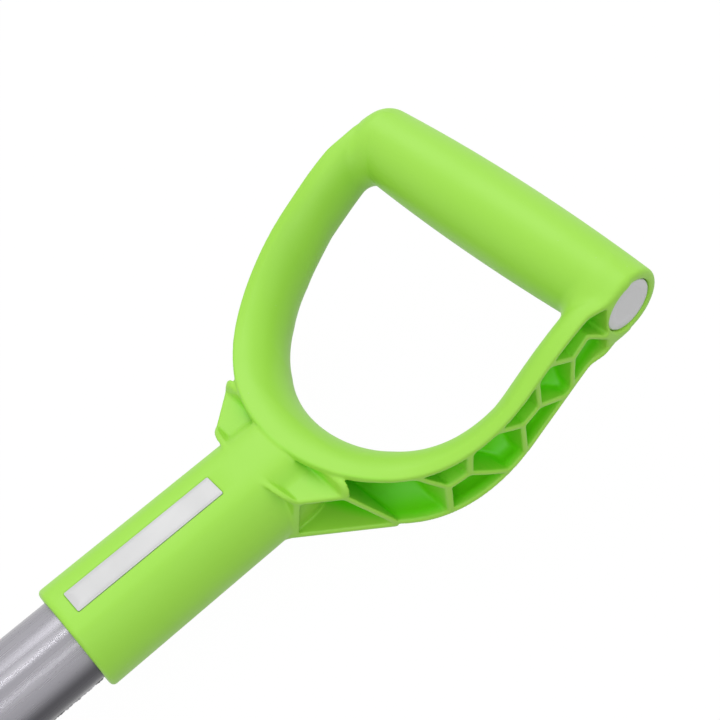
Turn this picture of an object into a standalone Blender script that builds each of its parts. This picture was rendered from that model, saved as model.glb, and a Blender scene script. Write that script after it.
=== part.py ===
"""A digging spade with a tubular steel shaft and a moulded D-shaped grip.

Metres, +Z up. The spade lies on its back: X runs along the grip's crossbar, +Y along the shaft
towards the grip, and the blade's back and the grip's socket touch Z = 0.
Run with: blender --background --python part.py
"""

import math

import bmesh
import bpy
from mathutils import Matrix, Vector

# Overall
OVERALL_LENGTH = 1.180
FIT_GAP = 0.0003                # clearance between two separate pieces that seat on each other

# Shaft tube
TUBE_RADIUS = 0.0160
TUBE_WALL = 0.0015
TUBE_STEPS = 36

# Socket of the grip, measured from its mouth along the shaft
SOCKET_WALL = 0.0040
SOCKET_DEPTH = 0.0750           # how far the tube goes in
SOCKET_LENGTH = 0.0860          # full round part, then the nose tapers into the loop
MOUTH_FILLET = 0.0018
NOSE_LENGTH = 0.0190
NOSE_NARROWING = 0.42           # part of the socket's width that the nose loses
NOSE_RADIUS = 0.0090            # half height of the nose's back at its end
PAD_DROP = 0.0015               # the flat front pad lies this far below the round of the socket

# Loop of the grip, seen from the front
LOOP_HALF_WIDTH = 0.0640
LOOP_START = 0.0920             # from the mouth to the lowest point of the loop's rim
ARM_DEPTH = 0.0135              # rim to innermost line, at the arms
BOTTOM_DEPTH = 0.0190           # rim to innermost line, at the bottom of the loop
BAND_HALF_HEIGHT = 0.0148       # front rim to mid line
BAND_END_START = 2.2            # the band starts to get less this many crossbar radii before its axis
BAND_END_HALF_HEIGHT = 0.0126   # the same where the arm runs into the crossbar
RIM_WIDTH = 0.0035              # flat margin beside the rim
SKIN = 0.0030                   # wall of the smooth inner band
FLANGE = 0.0024                 # wall of the front and back flanges
CORNER_FILLET = 0.0055          # between the arm's inside and the crossbar
CORNER_HEIGHT = 0.0060          # level of the corner, from the crossbar's axis
ARM_END = 0.0030                # the arm runs into the crossbar to this far before its axis
ARM_END_SHARE = 0.8             # part of the fillet's depth that the arm has there
CHANNEL_OPEN = 0.0040           # how far the mould's slide runs out past the rim

# Crossbar
CROSSBAR_DISTANCE = 0.2013      # from the mouth to the crossbar's axis
CROSSBAR_RISE = 0.0432          # from the shaft's axis to the crossbar's axis
CROSSBAR_RADIUS = 0.0158        # at the middle
CROSSBAR_END_RADIUS = 0.0135
CROSSBAR_HALF_LENGTH = 0.0662
CROSSBAR_END_FILLET = 0.0016
CLOSED_END_STEP = 0.0004        # the crossbar's closed left end stands this far out of the rim
CLOSED_END_FILLET = 0.0030
CLOSED_END_WALL = 0.0040        # solid part between the hollow and the closed end
CROSSBAR_BORE = 0.0085          # radius of the cored hollow
PLUG_RADIUS = 0.0098
PLUG_THICKNESS = 0.0030
PLUG_CORE_SHARE = 0.6           # part of the cap's thickness that is solid in its middle
PLUG_RECESS = 0.0004
PLUG_SKIRT_LENGTH = 0.0080
PLUG_SKIRT_WALL = 0.0015

# Honeycomb of ribs between the flanges
ARM_BEND = 1.675                # how much steeper the loop rises at its middle than at its ends
NECK_LEVEL_SHARE = 0.68         # part of the neck's depth that stays level before the loop rises
NECK_MID_RISE = 0.0044          # height of the loop's mid line above the shaft's axis, at the neck
CELL_LINE_NECK = 0.0076         # height of the ribs' line above the loop's mid line, at the neck
CELL_LINE_ARM = 0.0             # the same along the arms
RIB = 0.0022
FIRST_NODE = 0.0835             # from the mouth to the first meeting point of three ribs
NECK_LINK = 0.0128
LINK = 0.0085                   # rib on the mid line between two full cells
FIRST_CELL = 0.0275
CELL_SHRINK = 0.84              # each cell is this much of the one before
CELL_COUNT = 3
NECK_FRONT_ANGLES = (124.0, 72.0)
NECK_BACK_ANGLES = (-100.0, -60.0)
GUSSET_START = 0.0770           # where the neck's side gussets leave the socket
GUSSET_HALF_WIDTH = 0.0178
GUSSET_FLARE = 0.83             # growth of the half width for each metre along the shaft
GUSSET_END = 0.1080
GUSSET_STEP = 0.0004            # between the gusset's faces and the pad and rim beside them
GUSSET_SHOULDER = 0.0050        # how far the rounded front edge reaches in from the side

# Label plate in the front pad
LABEL_LENGTH = 0.0612
LABEL_WIDTH = 0.0094
LABEL_FROM_MOUTH = 0.0061
LABEL_RECESS = 0.0010
LABEL_THICKNESS = 0.0007
LABEL_CROWN = 0.0003
LABEL_END_SLOPE = 0.0010        # length of the crown's slope at each end

# Screw in the socket's back
SCREW_FROM_MOUTH = 0.0350
SCREW_HEAD_RADIUS = 0.0038
SCREW_SHANK_RADIUS = 0.0019
SCREW_LENGTH = 0.0120
SCREW_HEAD_DEPTH = 0.0022
SCREW_HEAD_LAND = 0.0004        # straight part of the head above its cone
SCREW_SINK = 0.0005             # the head lies this far below the socket's surface

# Blade
BLADE_LENGTH = 0.2900
BLADE_WIDTH = 0.1900
BLADE_TIP_WIDTH = 0.1720
BLADE_SHEET = 0.0020
EDGE_SAG = 0.0240               # the cutting edge's middle runs this far past its corners
DISH = 0.0060                   # the side edges rise this far above the flat middle
FLAT_SHARE = 0.36               # part of the half width that stays flat
TOE_RISE = 0.0070
TOE_START = 0.55                # part of the blade's length before it starts to curve up
BLADE_SOCKET_LENGTH = 0.1250
BLADE_SOCKET_WALL = 0.0020
FROG_LENGTH = 0.1250            # the ridge that runs from the socket down the blade
FROG_END_RADIUS = 0.0040
FROG_FLOOR = 0.0004             # lowest line of the ridge above the blade's back
FROG_STRAIGHT_SHARE = 0.45      # part of the ridge's taper that is straight, the rest eases in and out
FROG_HOLLOW_TIP = 0.0008        # smallest radius of the hollow in the ridge
FROG_SLOT_WIDTH = 0.0150        # the ridge is open at the blade's back
FROG_SLOT_START = 0.0120        # below the shoulders
FROG_SLOT_END = 0.0875
TUBE_STOP = 0.0100              # the tube ends this far above the shoulders
CUT_OVERRUN = 0.0020            # how far a cutter runs out past the face it cuts

# Treads on the shoulders
TREAD_THICKNESS = 0.0030
TREAD_DEPTH = 0.0140
TREAD_INNER = 0.0245            # from the middle of the blade to the tread
TREAD_MARGIN = 0.0020           # the tread ends this far inside the blade's corner
TREAD_ROUND = 0.0040

# Rivets through the blade's socket
LOWER_RIVET_HEIGHT = 0.0350     # above the shoulders
UPPER_RIVET_DROP = 0.0350       # below the socket's end
RIVET_RADIUS = 0.0025
RIVET_HEAD_RADIUS = 0.0048
RIVET_HEAD_HEIGHT = 0.0017

# Smoothness
ROUND_STEPS = 40
LOOP_STEPS = 26
BAND_STEPS = 6
FINE_STEPS = 24
RIVET_STEPS = 16
SHEET_STEPS_ACROSS = 18
SHEET_STEPS_ALONG = 12

# Values that follow from the sizes above
SOCKET_BORE = TUBE_RADIUS + FIT_GAP
SOCKET_RADIUS = SOCKET_BORE + SOCKET_WALL
AXIS_HEIGHT = SOCKET_RADIUS
MOUTH_Y = OVERALL_LENGTH / 2 - CROSSBAR_DISTANCE - CROSSBAR_RADIUS
LOOP_CENTRE = LOOP_START + LOOP_HALF_WIDTH
CLOSED_END = LOOP_HALF_WIDTH + CLOSED_END_STEP
PAD_HEIGHT = SOCKET_RADIUS - PAD_DROP
BLADE_TIP_Y = -OVERALL_LENGTH / 2
SHOULDER_Y = BLADE_TIP_Y + BLADE_LENGTH
BLADE_BORE = TUBE_RADIUS + FIT_GAP
BLADE_SOCKET_RADIUS = BLADE_BORE + BLADE_SOCKET_WALL
TUBE_BOTTOM_Y = SHOULDER_Y + TUBE_STOP
TUBE_TOP_Y = MOUTH_Y + SOCKET_DEPTH - FIT_GAP
RIVET_PLACES = (LOWER_RIVET_HEIGHT, BLADE_SOCKET_LENGTH - UPPER_RIVET_DROP)

GRIP_FRAME = Matrix.Translation((0.0, MOUTH_Y, AXIS_HEIGHT))
BLADE_FRAME = Matrix.Translation((0.0, SHOULDER_Y, AXIS_HEIGHT))

COLOURS = {
    "green": ((0.38, 0.78, 0.10, 1.0), 0.45, 0.0),
    "plug": ((0.55, 0.55, 0.57, 1.0), 0.50, 0.0),
    "label": ((0.80, 0.80, 0.80, 1.0), 0.25, 0.0),
    "tube": ((0.52, 0.51, 0.54, 1.0), 0.35, 0.8),
    "blade": ((0.16, 0.17, 0.18, 1.0), 0.50, 0.6),
    "zinc": ((0.70, 0.70, 0.70, 1.0), 0.35, 0.9),
}


def start_scene():
    """Empty the scene and make one collection for the parts and one for the cutters."""
    for item in list(bpy.data.objects):
        bpy.data.objects.remove(item, do_unlink=True)
    parts = bpy.data.collections.new("spade")
    cutters = bpy.data.collections.new("cutters")
    bpy.context.scene.collection.children.link(parts)
    bpy.context.scene.collection.children.link(cutters)
    return parts, cutters


def make_material(name):
    """A plain Principled material with the piece's colour, roughness and metallic value."""
    colour, roughness, metallic = COLOURS[name]
    material = bpy.data.materials.new(name)
    material.use_nodes = True
    shader = material.node_tree.nodes["Principled BSDF"]
    shader.inputs["Base Color"].default_value = colour
    shader.inputs["Roughness"].default_value = roughness
    shader.inputs["Metallic"].default_value = metallic
    return material


def smoothly(mesh):
    """Shade a mesh smooth with sharp edges where two faces meet at a clear angle."""
    mesh.shade_smooth()
    mesh.set_sharp_from_angle(angle=math.radians(32.0))


def add_mesh(name, bm, collection, frame=None):
    """Turn a bmesh into an object in a collection, with its faces pointing out."""
    bmesh.ops.recalc_face_normals(bm, faces=bm.faces)
    mesh = bpy.data.meshes.new(name)
    bm.to_mesh(mesh)
    bm.free()
    smoothly(mesh)
    item = bpy.data.objects.new(name, mesh)
    if frame is not None:
        item.matrix_world = frame
    collection.objects.link(item)
    return item


def as_cutter(item):
    """Mark an object as a tool of a Boolean, which is no part of the spade."""
    item.hide_render = True
    item.display_type = "WIRE"
    return item


def loft(name, rings, collection, frame=None):
    """Skin a row of rings that have the same number of points, and close both ends."""
    bm = bmesh.new()
    loops = [[bm.verts.new(point) for point in ring] for ring in rings]
    count = len(rings[0])
    for lower, upper in zip(loops, loops[1:]):
        for k in range(count):
            after = (k + 1) % count
            bm.faces.new((lower[k], lower[after], upper[after], upper[k]))
    bm.faces.new(loops[0])
    bm.faces.new(loops[-1])
    return add_mesh(name, bm, collection, frame)


def turned(name, profile, steps, collection, frame):
    """Turn a profile of (radius, height) points about the frame's Z axis.

    The profile runs down the outer side, from the top to the bottom.
    """
    mesh = bpy.data.meshes.new(name)
    points = [(radius, 0.0, height) for radius, height in profile]
    closed = profile[0][0] > 0.0
    edges = [(k, k + 1) for k in range(len(points) - 1)]
    if closed:
        edges.append((len(points) - 1, 0))
    mesh.from_pydata(points, edges, [])
    item = bpy.data.objects.new(name, mesh)
    item.matrix_world = frame
    collection.objects.link(item)
    screw = item.modifiers.new("turn", "SCREW")
    screw.axis = "Z"
    screw.steps = steps
    screw.render_steps = steps
    screw.use_merge_vertices = True
    screw.merge_threshold = 0.00001
    screw.use_smooth_shade = True
    return item


def boolean(item, operation, tool, solver="EXACT"):
    """Join a tool to an object, cut it off or keep what they share."""
    step = item.modifiers.new(tool.name, "BOOLEAN")
    step.operation = operation
    step.solver = solver
    step.object = tool


def along_x(centre):
    """A frame whose Z axis points along +X, at a centre."""
    return Matrix.Translation(centre) @ Matrix.Rotation(math.radians(90.0), 4, "Y")


def along_y(centre):
    """A frame whose Z axis points along +Y, at a centre."""
    return Matrix.Translation(centre) @ Matrix.Rotation(math.radians(-90.0), 4, "X")


def along_minus_z(centre):
    """A frame whose Z axis points down, at a centre."""
    return Matrix.Translation(centre) @ Matrix.Rotation(math.radians(180.0), 4, "X")


# The grip: lines that its pieces share, in the grip's frame

def mid_height(y):
    """Height of the loop's mid line: level at the neck, then rising to the crossbar."""
    span = CROSSBAR_DISTANCE - LOOP_START - BOTTOM_DEPTH * NECK_LEVEL_SHARE
    t = (y - (CROSSBAR_DISTANCE - span)) / span
    t = min(max(t, 0.0), 1.0)
    rise = CROSSBAR_RISE - NECK_MID_RISE
    return NECK_MID_RISE + rise * t * t * (1.0 + ARM_BEND - ARM_BEND * t)


def mid_slope(y):
    """Slope angle of the mid line, in degrees."""
    step = 0.002
    return math.degrees(math.atan2(mid_height(y + step) - mid_height(y - step), 2 * step))


def cell_line_height(y):
    """Height of the line on which three ribs meet."""
    share = min(max((y - LOOP_START) / (LOOP_CENTRE - LOOP_START), 0.0), 1.0)
    return mid_height(y) + CELL_LINE_NECK + (CELL_LINE_ARM - CELL_LINE_NECK) * share


def half_height(y):
    """Half height of the band: full along the loop, less where it meets the crossbar."""
    start = CROSSBAR_DISTANCE - BAND_END_START * CROSSBAR_RADIUS
    share = min(max((y - start) / (CROSSBAR_DISTANCE - start), 0.0), 1.0)
    blend = share * share * (3.0 - 2.0 * share)
    return BAND_HALF_HEIGHT + (BAND_END_HALF_HEIGHT - BAND_HALF_HEIGHT) * blend


def band_stations():
    """Places along the loop as (direction, rim point, depth), from the left arm to the right."""
    inner_x = LOOP_HALF_WIDTH - ARM_DEPTH
    inner_y = LOOP_HALF_WIDTH - BOTTOM_DEPTH
    arm = []
    fillet_top = CROSSBAR_DISTANCE - math.sqrt(CROSSBAR_RADIUS ** 2 - CORNER_HEIGHT ** 2)
    straight = [LOOP_CENTRE + (fillet_top - CORNER_FILLET - LOOP_CENTRE) * k / 4 for k in range(1, 5)]
    for y in straight:
        arm.append((y, 0.0))
    for k in range(1, 5):
        turn = math.radians(18.0 * k)
        y = fillet_top - CORNER_FILLET + CORNER_FILLET * math.sin(turn)
        arm.append((y, CORNER_FILLET * (1.0 - math.cos(turn))))
    arm.append((CROSSBAR_DISTANCE - ARM_END, CORNER_FILLET * ARM_END_SHARE))
    stations = []
    for y, extra in reversed(arm):
        stations.append((Vector((-1.0, 0.0)), Vector((-LOOP_HALF_WIDTH, y)), ARM_DEPTH + extra))
    for k in range(LOOP_STEPS + 1):
        angle = math.pi + math.pi * k / LOOP_STEPS
        direction = Vector((math.cos(angle), math.sin(angle)))
        inner = inner_x * inner_y / math.hypot(inner_y * direction.x, inner_x * direction.y)
        rim = Vector((0.0, LOOP_CENTRE)) + direction * LOOP_HALF_WIDTH
        stations.append((direction, rim, LOOP_HALF_WIDTH - inner))
    for y, extra in arm:
        stations.append((Vector((1.0, 0.0)), Vector((LOOP_HALF_WIDTH, y)), ARM_DEPTH + extra))
    return stations


def band_section(depth, half, rim_width, inset, outward):
    """One section as (distance inwards from the rim, height above the mid line) points."""
    reach = depth - inset - rim_width
    points = [(-outward, half), (rim_width, half)]
    for k in range(1, 2 * BAND_STEPS):
        angle = math.pi * k / (2 * BAND_STEPS)
        points.append((rim_width + reach * math.sin(angle), half * math.cos(angle)))
    points += [(rim_width, -half), (-outward, -half)]
    return points


def sweep_band(name, collection, skin, flange, outward):
    """Sweep the band's section round the loop, drawn in by a skin and by the flanges."""
    rings = []
    for direction, rim, depth in band_stations():
        half = half_height(rim.y) - flange
        ring = []
        for inwards, height in band_section(depth, half, RIM_WIDTH, skin, outward):
            place = rim - direction * inwards
            ring.append((place.x, place.y, mid_height(place.y) + height))
        rings.append(ring)
    return loft(name, rings, collection, GRIP_FRAME)


# The honeycomb: a pattern in the plane across the crossbar, the same through the whole width

def rib_nodes():
    """Meeting points of three ribs as (y, z), and the angles of the front and back rib there."""
    lengths = [NECK_LINK]
    cell = FIRST_CELL
    for _ in range(CELL_COUNT):
        lengths += [cell, LINK]
        cell *= CELL_SHRINK
    ys = [FIRST_NODE]
    for length in lengths:
        ys.append(ys[-1] + length * math.cos(math.radians(mid_slope(ys[-1]))))
    nodes = []
    for k, y in enumerate(ys):
        slope = mid_slope(y)
        turn = 120.0 if k % 2 == 0 else 60.0
        front, back = slope + turn, slope - turn
        if k < 2:
            front, back = NECK_FRONT_ANGLES[k], NECK_BACK_ANGLES[k]
        nodes.append((Vector((y, cell_line_height(y))), front, back))
    return nodes


def offset_line(point, angle, shift):
    """A line through a point at an angle, moved sideways to its left by a shift."""
    direction = Vector((math.cos(math.radians(angle)), math.sin(math.radians(angle))))
    left = Vector((-direction.y, direction.x))
    return point + left * shift, direction


def meet(first, second):
    """Where two lines cross."""
    (p, d), (q, e) = first, second
    cross = d.x * e.y - d.y * e.x
    gap = q - p
    return p + d * ((gap.x * e.y - gap.y * e.x) / cross)


def level(point, side):
    """The line of the band's front face (side 1) or back face (side -1) beside a point."""
    face = Vector((point.x, mid_height(point.x) + side * BAND_HALF_HEIGHT))
    return offset_line(face, mid_slope(point.x), 0.0)


def cell_outlines():
    """Outlines of the hollows between the ribs, as lists of (y, z) points."""
    nodes = rib_nodes()
    half = RIB / 2
    outlines = []
    first, front, back = nodes[0]
    upper = offset_line(first, front, half)
    lower = offset_line(first, back, -half)
    edge = offset_line(Vector((GUSSET_START - RIB, 0.0)), 90.0, 0.0)
    outlines.append([meet(upper, lower), meet(upper, level(first, 1.0)), meet(edge, level(first, 1.0)),
                     meet(edge, level(first, -1.0)), meet(lower, level(first, -1.0))])
    for k in range(0, len(nodes) - 1, 2):
        (a, a_front, a_back), (b, b_front, b_back) = nodes[k], nodes[k + 1]
        link = math.degrees(math.atan2(b.y - a.y, b.x - a.x))
        for side, a_angle, b_angle in ((1.0, a_front, b_front), (-1.0, a_back, b_back)):
            floor = offset_line(a, link, half * side)
            near = offset_line(a, a_angle, -half * side)
            far_rib = offset_line(b, b_angle, half * side)
            outlines.append([meet(floor, near), meet(near, level(a, side)),
                             meet(far_rib, level(b, side)), meet(floor, far_rib)])
    for k in range(1, len(nodes) - 1, 2):
        (a, a_front, a_back), (b, b_front, b_back) = nodes[k], nodes[k + 1]
        a_up, a_down = offset_line(a, a_front, -half), offset_line(a, a_back, half)
        b_up, b_down = offset_line(b, b_front, half), offset_line(b, b_back, -half)
        outlines.append([meet(a_up, a_down), meet(a_up, level(a, 1.0)), meet(b_up, level(b, 1.0)),
                         meet(b_up, b_down), meet(b_down, level(b, -1.0)), meet(a_down, level(a, -1.0))])
    last, front, back = nodes[-1]
    upper = offset_line(last, front, -half)
    lower = offset_line(last, back, half)
    edge = offset_line(Vector((CROSSBAR_DISTANCE, 0.0)), 90.0, 0.0)
    outlines.append([meet(upper, lower), meet(upper, level(last, 1.0)), meet(edge, level(last, 1.0)),
                     meet(edge, level(last, -1.0)), meet(lower, level(last, -1.0))])
    return outlines


def cell_prisms(name, collection, outlines):
    """Prisms that run through the whole width of the grip, one for each outline."""
    bm = bmesh.new()
    reach = LOOP_HALF_WIDTH + 2 * CHANNEL_OPEN
    for outline in outlines:
        bm.faces.new([bm.verts.new((-reach, point.x, point.y)) for point in outline])
    walls = bmesh.ops.extrude_face_region(bm, geom=list(bm.faces), use_keep_orig=True)
    far_side = [item for item in walls["geom"] if isinstance(item, bmesh.types.BMVert)]
    bmesh.ops.translate(bm, verts=far_side, vec=(2 * reach, 0.0, 0.0))
    return as_cutter(add_mesh(name, bm, collection, GRIP_FRAME))


# The grip's bodies

def socket_ring(y, radius, back):
    """One section of the socket: round, flat on the front pad, and less deep at the back."""
    ring = []
    for k in range(ROUND_STEPS):
        angle = 2 * math.pi * (k + 0.5) / ROUND_STEPS
        z = radius * math.sin(angle)
        if z < 0.0:
            z *= back / radius
        ring.append((radius * math.cos(angle), y, min(z, PAD_HEIGHT)))
    return ring


def make_socket(collection):
    """The round socket with its rounded mouth and the nose that runs into the loop."""
    rings = []
    for k in range(4):
        angle = math.radians(30.0 * k)
        radius = SOCKET_RADIUS - MOUTH_FILLET * (1.0 - math.sin(angle))
        rings.append(socket_ring(MOUTH_FILLET * (1.0 - math.cos(angle)), radius, radius))
    rings.append(socket_ring(SOCKET_LENGTH, SOCKET_RADIUS, SOCKET_RADIUS))
    steps = 5
    for k in range(1, steps + 1):
        share = k / steps
        fall = share * share
        back = SOCKET_RADIUS + (NOSE_RADIUS - SOCKET_RADIUS) * fall
        radius = SOCKET_RADIUS * (1.0 - NOSE_NARROWING * fall * share)
        rings.append(socket_ring(SOCKET_LENGTH + NOSE_LENGTH * share, radius, back))
    return as_cutter(loft("socket_body", rings, collection, GRIP_FRAME))


def make_gussets(collection):
    """The flared neck that carries the first ribs, rounded off towards the front pad."""
    rings = []
    steps = 6
    back = NECK_MID_RISE - BAND_HALF_HEIGHT - GUSSET_STEP
    shoulder = NECK_MID_RISE + CELL_LINE_NECK
    for k in range(steps + 1):
        y = GUSSET_START + (GUSSET_END - GUSSET_START) * k / steps
        half = GUSSET_HALF_WIDTH + GUSSET_FLARE * (y - GUSSET_START)
        front = half - GUSSET_SHOULDER
        right = [(half, back)]
        for j in range(6):
            angle = math.radians(18.0 * j)
            right.append((front + (half - front) * math.cos(angle),
                          shoulder + (PAD_HEIGHT - GUSSET_STEP - shoulder) * math.sin(angle)))
        left = [(-x, z) for x, z in reversed(right)]
        rings.append([(x, y, z) for x, z in right + left])
    return as_cutter(loft("neck_gussets", rings, collection, GRIP_FRAME))


def crossbar_radius(x):
    """Radius of the barrel-shaped crossbar."""
    share = x / CROSSBAR_HALF_LENGTH
    return CROSSBAR_RADIUS + (CROSSBAR_END_RADIUS - CROSSBAR_RADIUS) * share * share


def rounded_end(radius, reach, fillet):
    """Profile of an end of the crossbar, from its axis outwards, as (radius, distance) points."""
    points = [(0.0, reach)]
    for k in range(3):
        angle = math.radians(45.0 * k)
        points.append((radius - fillet * (1.0 - math.sin(angle)), reach - fillet * (1.0 - math.cos(angle))))
    return points


def make_crossbar(collection):
    """The barrel-shaped crossbar: its right end takes the plug, its left end is closed."""
    right = CROSSBAR_HALF_LENGTH - CROSSBAR_END_FILLET
    left = CLOSED_END - CLOSED_END_FILLET
    profile = rounded_end(CROSSBAR_END_RADIUS, CROSSBAR_HALF_LENGTH, CROSSBAR_END_FILLET)
    steps = 6
    for k in range(1, steps):
        x = right - (right + left) * k / steps
        profile.append((crossbar_radius(x), x))
    closed = rounded_end(crossbar_radius(left), CLOSED_END, CLOSED_END_FILLET)
    profile += [(radius, -reach) for radius, reach in reversed(closed)]
    frame = GRIP_FRAME @ along_x((0.0, CROSSBAR_DISTANCE, CROSSBAR_RISE))
    return as_cutter(turned("crossbar_body", profile, TUBE_STEPS, collection, frame))


def plug_seat_depth():
    """How far the plug's seat reaches in from the crossbar's end."""
    return PLUG_RECESS + PLUG_THICKNESS + FIT_GAP


def make_crossbar_bore(collection):
    """The cored hollow of the crossbar, blind at the left, with a wider seat for the plug at the right."""
    out = CROSSBAR_HALF_LENGTH + CUT_OVERRUN
    seat = CROSSBAR_HALF_LENGTH - plug_seat_depth()
    wide = PLUG_RADIUS + FIT_GAP
    blind = CLOSED_END_WALL - CLOSED_END
    profile = [(0.0, out), (wide, out), (wide, seat), (CROSSBAR_BORE, seat),
               (CROSSBAR_BORE, blind), (0.0, blind)]
    frame = GRIP_FRAME @ along_x((0.0, CROSSBAR_DISTANCE, CROSSBAR_RISE))
    return as_cutter(turned("crossbar_bore", profile, FINE_STEPS, collection, frame))


def make_box(name, low, high, collection, frame):
    """A plain box between two corners."""
    bm = bmesh.new()
    size = Vector(high) - Vector(low)
    middle = (Vector(high) + Vector(low)) / 2
    bmesh.ops.create_cube(bm, size=1.0, matrix=Matrix.Translation(middle) @ Matrix.Diagonal((*size, 1.0)))
    return add_mesh(name, bm, collection, frame)


def screw_profile(grow):
    """Profile of the countersunk screw, or of its hole when grown by a clearance."""
    top = SOCKET_RADIUS - SCREW_SINK
    head = SCREW_HEAD_RADIUS + grow
    shank = SCREW_SHANK_RADIUS + grow
    profile = [(0.0, top), (head, top), (head, top - SCREW_HEAD_LAND)]
    if grow > 0.0:
        out = SOCKET_RADIUS + CUT_OVERRUN
        profile = [(0.0, out), (head, out), (head, top - SCREW_HEAD_LAND - grow)]
    profile += [(shank, top - SCREW_HEAD_DEPTH - grow), (shank, top - SCREW_LENGTH + SCREW_SHANK_RADIUS),
                (0.0, top - SCREW_LENGTH - 2 * grow)]
    return profile


def screw_frame():
    """The screw's axis: from the shaft's axis straight out of the back."""
    return along_minus_z((0.0, MOUTH_Y + SCREW_FROM_MOUTH, AXIS_HEIGHT))


def make_hollows(cutters):
    """Everything that the side slides of the mould leave open: the cells between the ribs.

    They lie inside the channel of the loop, and beside the neck they are open to the front too.
    """
    flange_face = NECK_MID_RISE - BAND_HALF_HEIGHT + FLANGE
    beside_neck = as_cutter(make_box("beside_neck", (-LOOP_HALF_WIDTH, GUSSET_START - 2 * RIB, flange_face),
                                     (LOOP_HALF_WIDTH, GUSSET_END, SOCKET_RADIUS + NOSE_RADIUS),
                                     cutters, GRIP_FRAME))
    rim = [(0.0, CROSSBAR_RISE), (LOOP_HALF_WIDTH + FIT_GAP, CROSSBAR_RISE),
           (LOOP_HALF_WIDTH + FIT_GAP, -CROSSBAR_RISE), (0.0, -CROSSBAR_RISE)]
    rim_frame = GRIP_FRAME @ Matrix.Translation((0.0, LOOP_CENTRE, 0.0))
    rim_guard = as_cutter(turned("rim_guard", rim, 4 * FINE_STEPS, cutters, rim_frame))
    boolean(beside_neck, "DIFFERENCE", rim_guard)
    channel = as_cutter(sweep_band("channel", cutters, SKIN, FLANGE, CHANNEL_OPEN))
    boolean(channel, "UNION", beside_neck)
    cells = cell_prisms("cells", cutters, cell_outlines())
    boolean(cells, "INTERSECT", channel, "MANIFOLD")
    return cells


def make_tube_bore(cutters):
    """The round hollow of the socket that takes the tube."""
    profile = [(0.0, SOCKET_DEPTH), (SOCKET_BORE, SOCKET_DEPTH), (SOCKET_BORE, -CUT_OVERRUN),
               (0.0, -CUT_OVERRUN)]
    frame = along_y((0.0, MOUTH_Y, AXIS_HEIGHT))
    return as_cutter(turned("tube_bore", profile, TUBE_STEPS, cutters, frame))


def make_label_recess(cutters):
    """The shallow recess in the front pad that takes the label plate."""
    low = (-LABEL_WIDTH / 2, LABEL_FROM_MOUTH, PAD_HEIGHT - LABEL_RECESS)
    high = (LABEL_WIDTH / 2, LABEL_FROM_MOUTH + LABEL_LENGTH, PAD_HEIGHT + CUT_OVERRUN)
    return as_cutter(make_box("label_recess", low, high, cutters, GRIP_FRAME))


def make_grip(parts, cutters, material):
    """The one-piece moulded grip: socket, honeycombed loop and crossbar.

    The MANIFOLD solver is used here because EXACT leaves open edges where the ribs meet the rim.
    """
    grip = sweep_band("d_grip", parts, 0.0, 0.0, 0.0)
    grip.data.materials.append(material)
    hole = as_cutter(turned("screw_hole", screw_profile(FIT_GAP), FINE_STEPS, cutters, screw_frame()))
    steps = (("UNION", make_gussets(cutters)), ("DIFFERENCE", make_hollows(cutters)),
             ("UNION", make_socket(cutters)), ("UNION", make_crossbar(cutters)),
             ("DIFFERENCE", make_tube_bore(cutters)), ("DIFFERENCE", make_crossbar_bore(cutters)),
             ("DIFFERENCE", make_label_recess(cutters)), ("DIFFERENCE", hole))
    for operation, tool in steps:
        boolean(grip, operation, tool, "MANIFOLD")
    return hole


def make_plug(parts, material):
    """The end plug: a flat cap with a hollow skirt inside the crossbar."""
    skirt = CROSSBAR_BORE - FIT_GAP
    inner = skirt - PLUG_SKIRT_WALL
    face = CROSSBAR_HALF_LENGTH - PLUG_RECESS
    under = face - PLUG_THICKNESS
    end = under - PLUG_SKIRT_LENGTH
    floor = face - PLUG_CORE_SHARE * PLUG_THICKNESS
    profile = [(0.0, face), (PLUG_RADIUS, face), (PLUG_RADIUS, under), (skirt, under),
               (skirt, end), (inner, end), (inner, floor), (0.0, floor)]
    frame = GRIP_FRAME @ along_x((0.0, CROSSBAR_DISTANCE, CROSSBAR_RISE))
    plug = turned("grip_plug", profile, FINE_STEPS, parts, frame)
    plug.data.materials.append(material)


def make_label(parts, material):
    """The bare label plate in the front pad, crowned along its length."""
    half = LABEL_WIDTH / 2 - FIT_GAP
    low = LABEL_FROM_MOUTH + FIT_GAP
    high = LABEL_FROM_MOUTH + LABEL_LENGTH - FIT_GAP
    floor = PAD_HEIGHT - LABEL_RECESS + FIT_GAP
    rings = []
    stations = ((low, 0.0), (low + LABEL_END_SLOPE, LABEL_CROWN),
                (high - LABEL_END_SLOPE, LABEL_CROWN), (high, 0.0))
    for y, crown in stations:
        ring = [(-half, y, floor), (half, y, floor)]
        for k in range(5):
            x = half * (1.0 - k / 2)
            lift = crown * (1.0 - (x / half) ** 2)
            ring.append((x, y, floor + LABEL_THICKNESS + lift))
        rings.append(ring)
    label = loft("label_plate", rings, parts, GRIP_FRAME)
    label.data.materials.append(material)


def make_tube(parts, holes, material):
    """The straight steel shaft tube, drilled for the screw and the rivets."""
    inner = TUBE_RADIUS - TUBE_WALL
    length = TUBE_TOP_Y - TUBE_BOTTOM_Y
    profile = [(TUBE_RADIUS, length), (TUBE_RADIUS, 0.0), (inner, 0.0), (inner, length)]
    tube = turned("shaft_tube", profile, TUBE_STEPS, parts, along_y((0.0, TUBE_BOTTOM_Y, AXIS_HEIGHT)))
    tube.data.materials.append(material)
    for hole in holes:
        boolean(tube, "DIFFERENCE", hole)


# The blade

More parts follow.
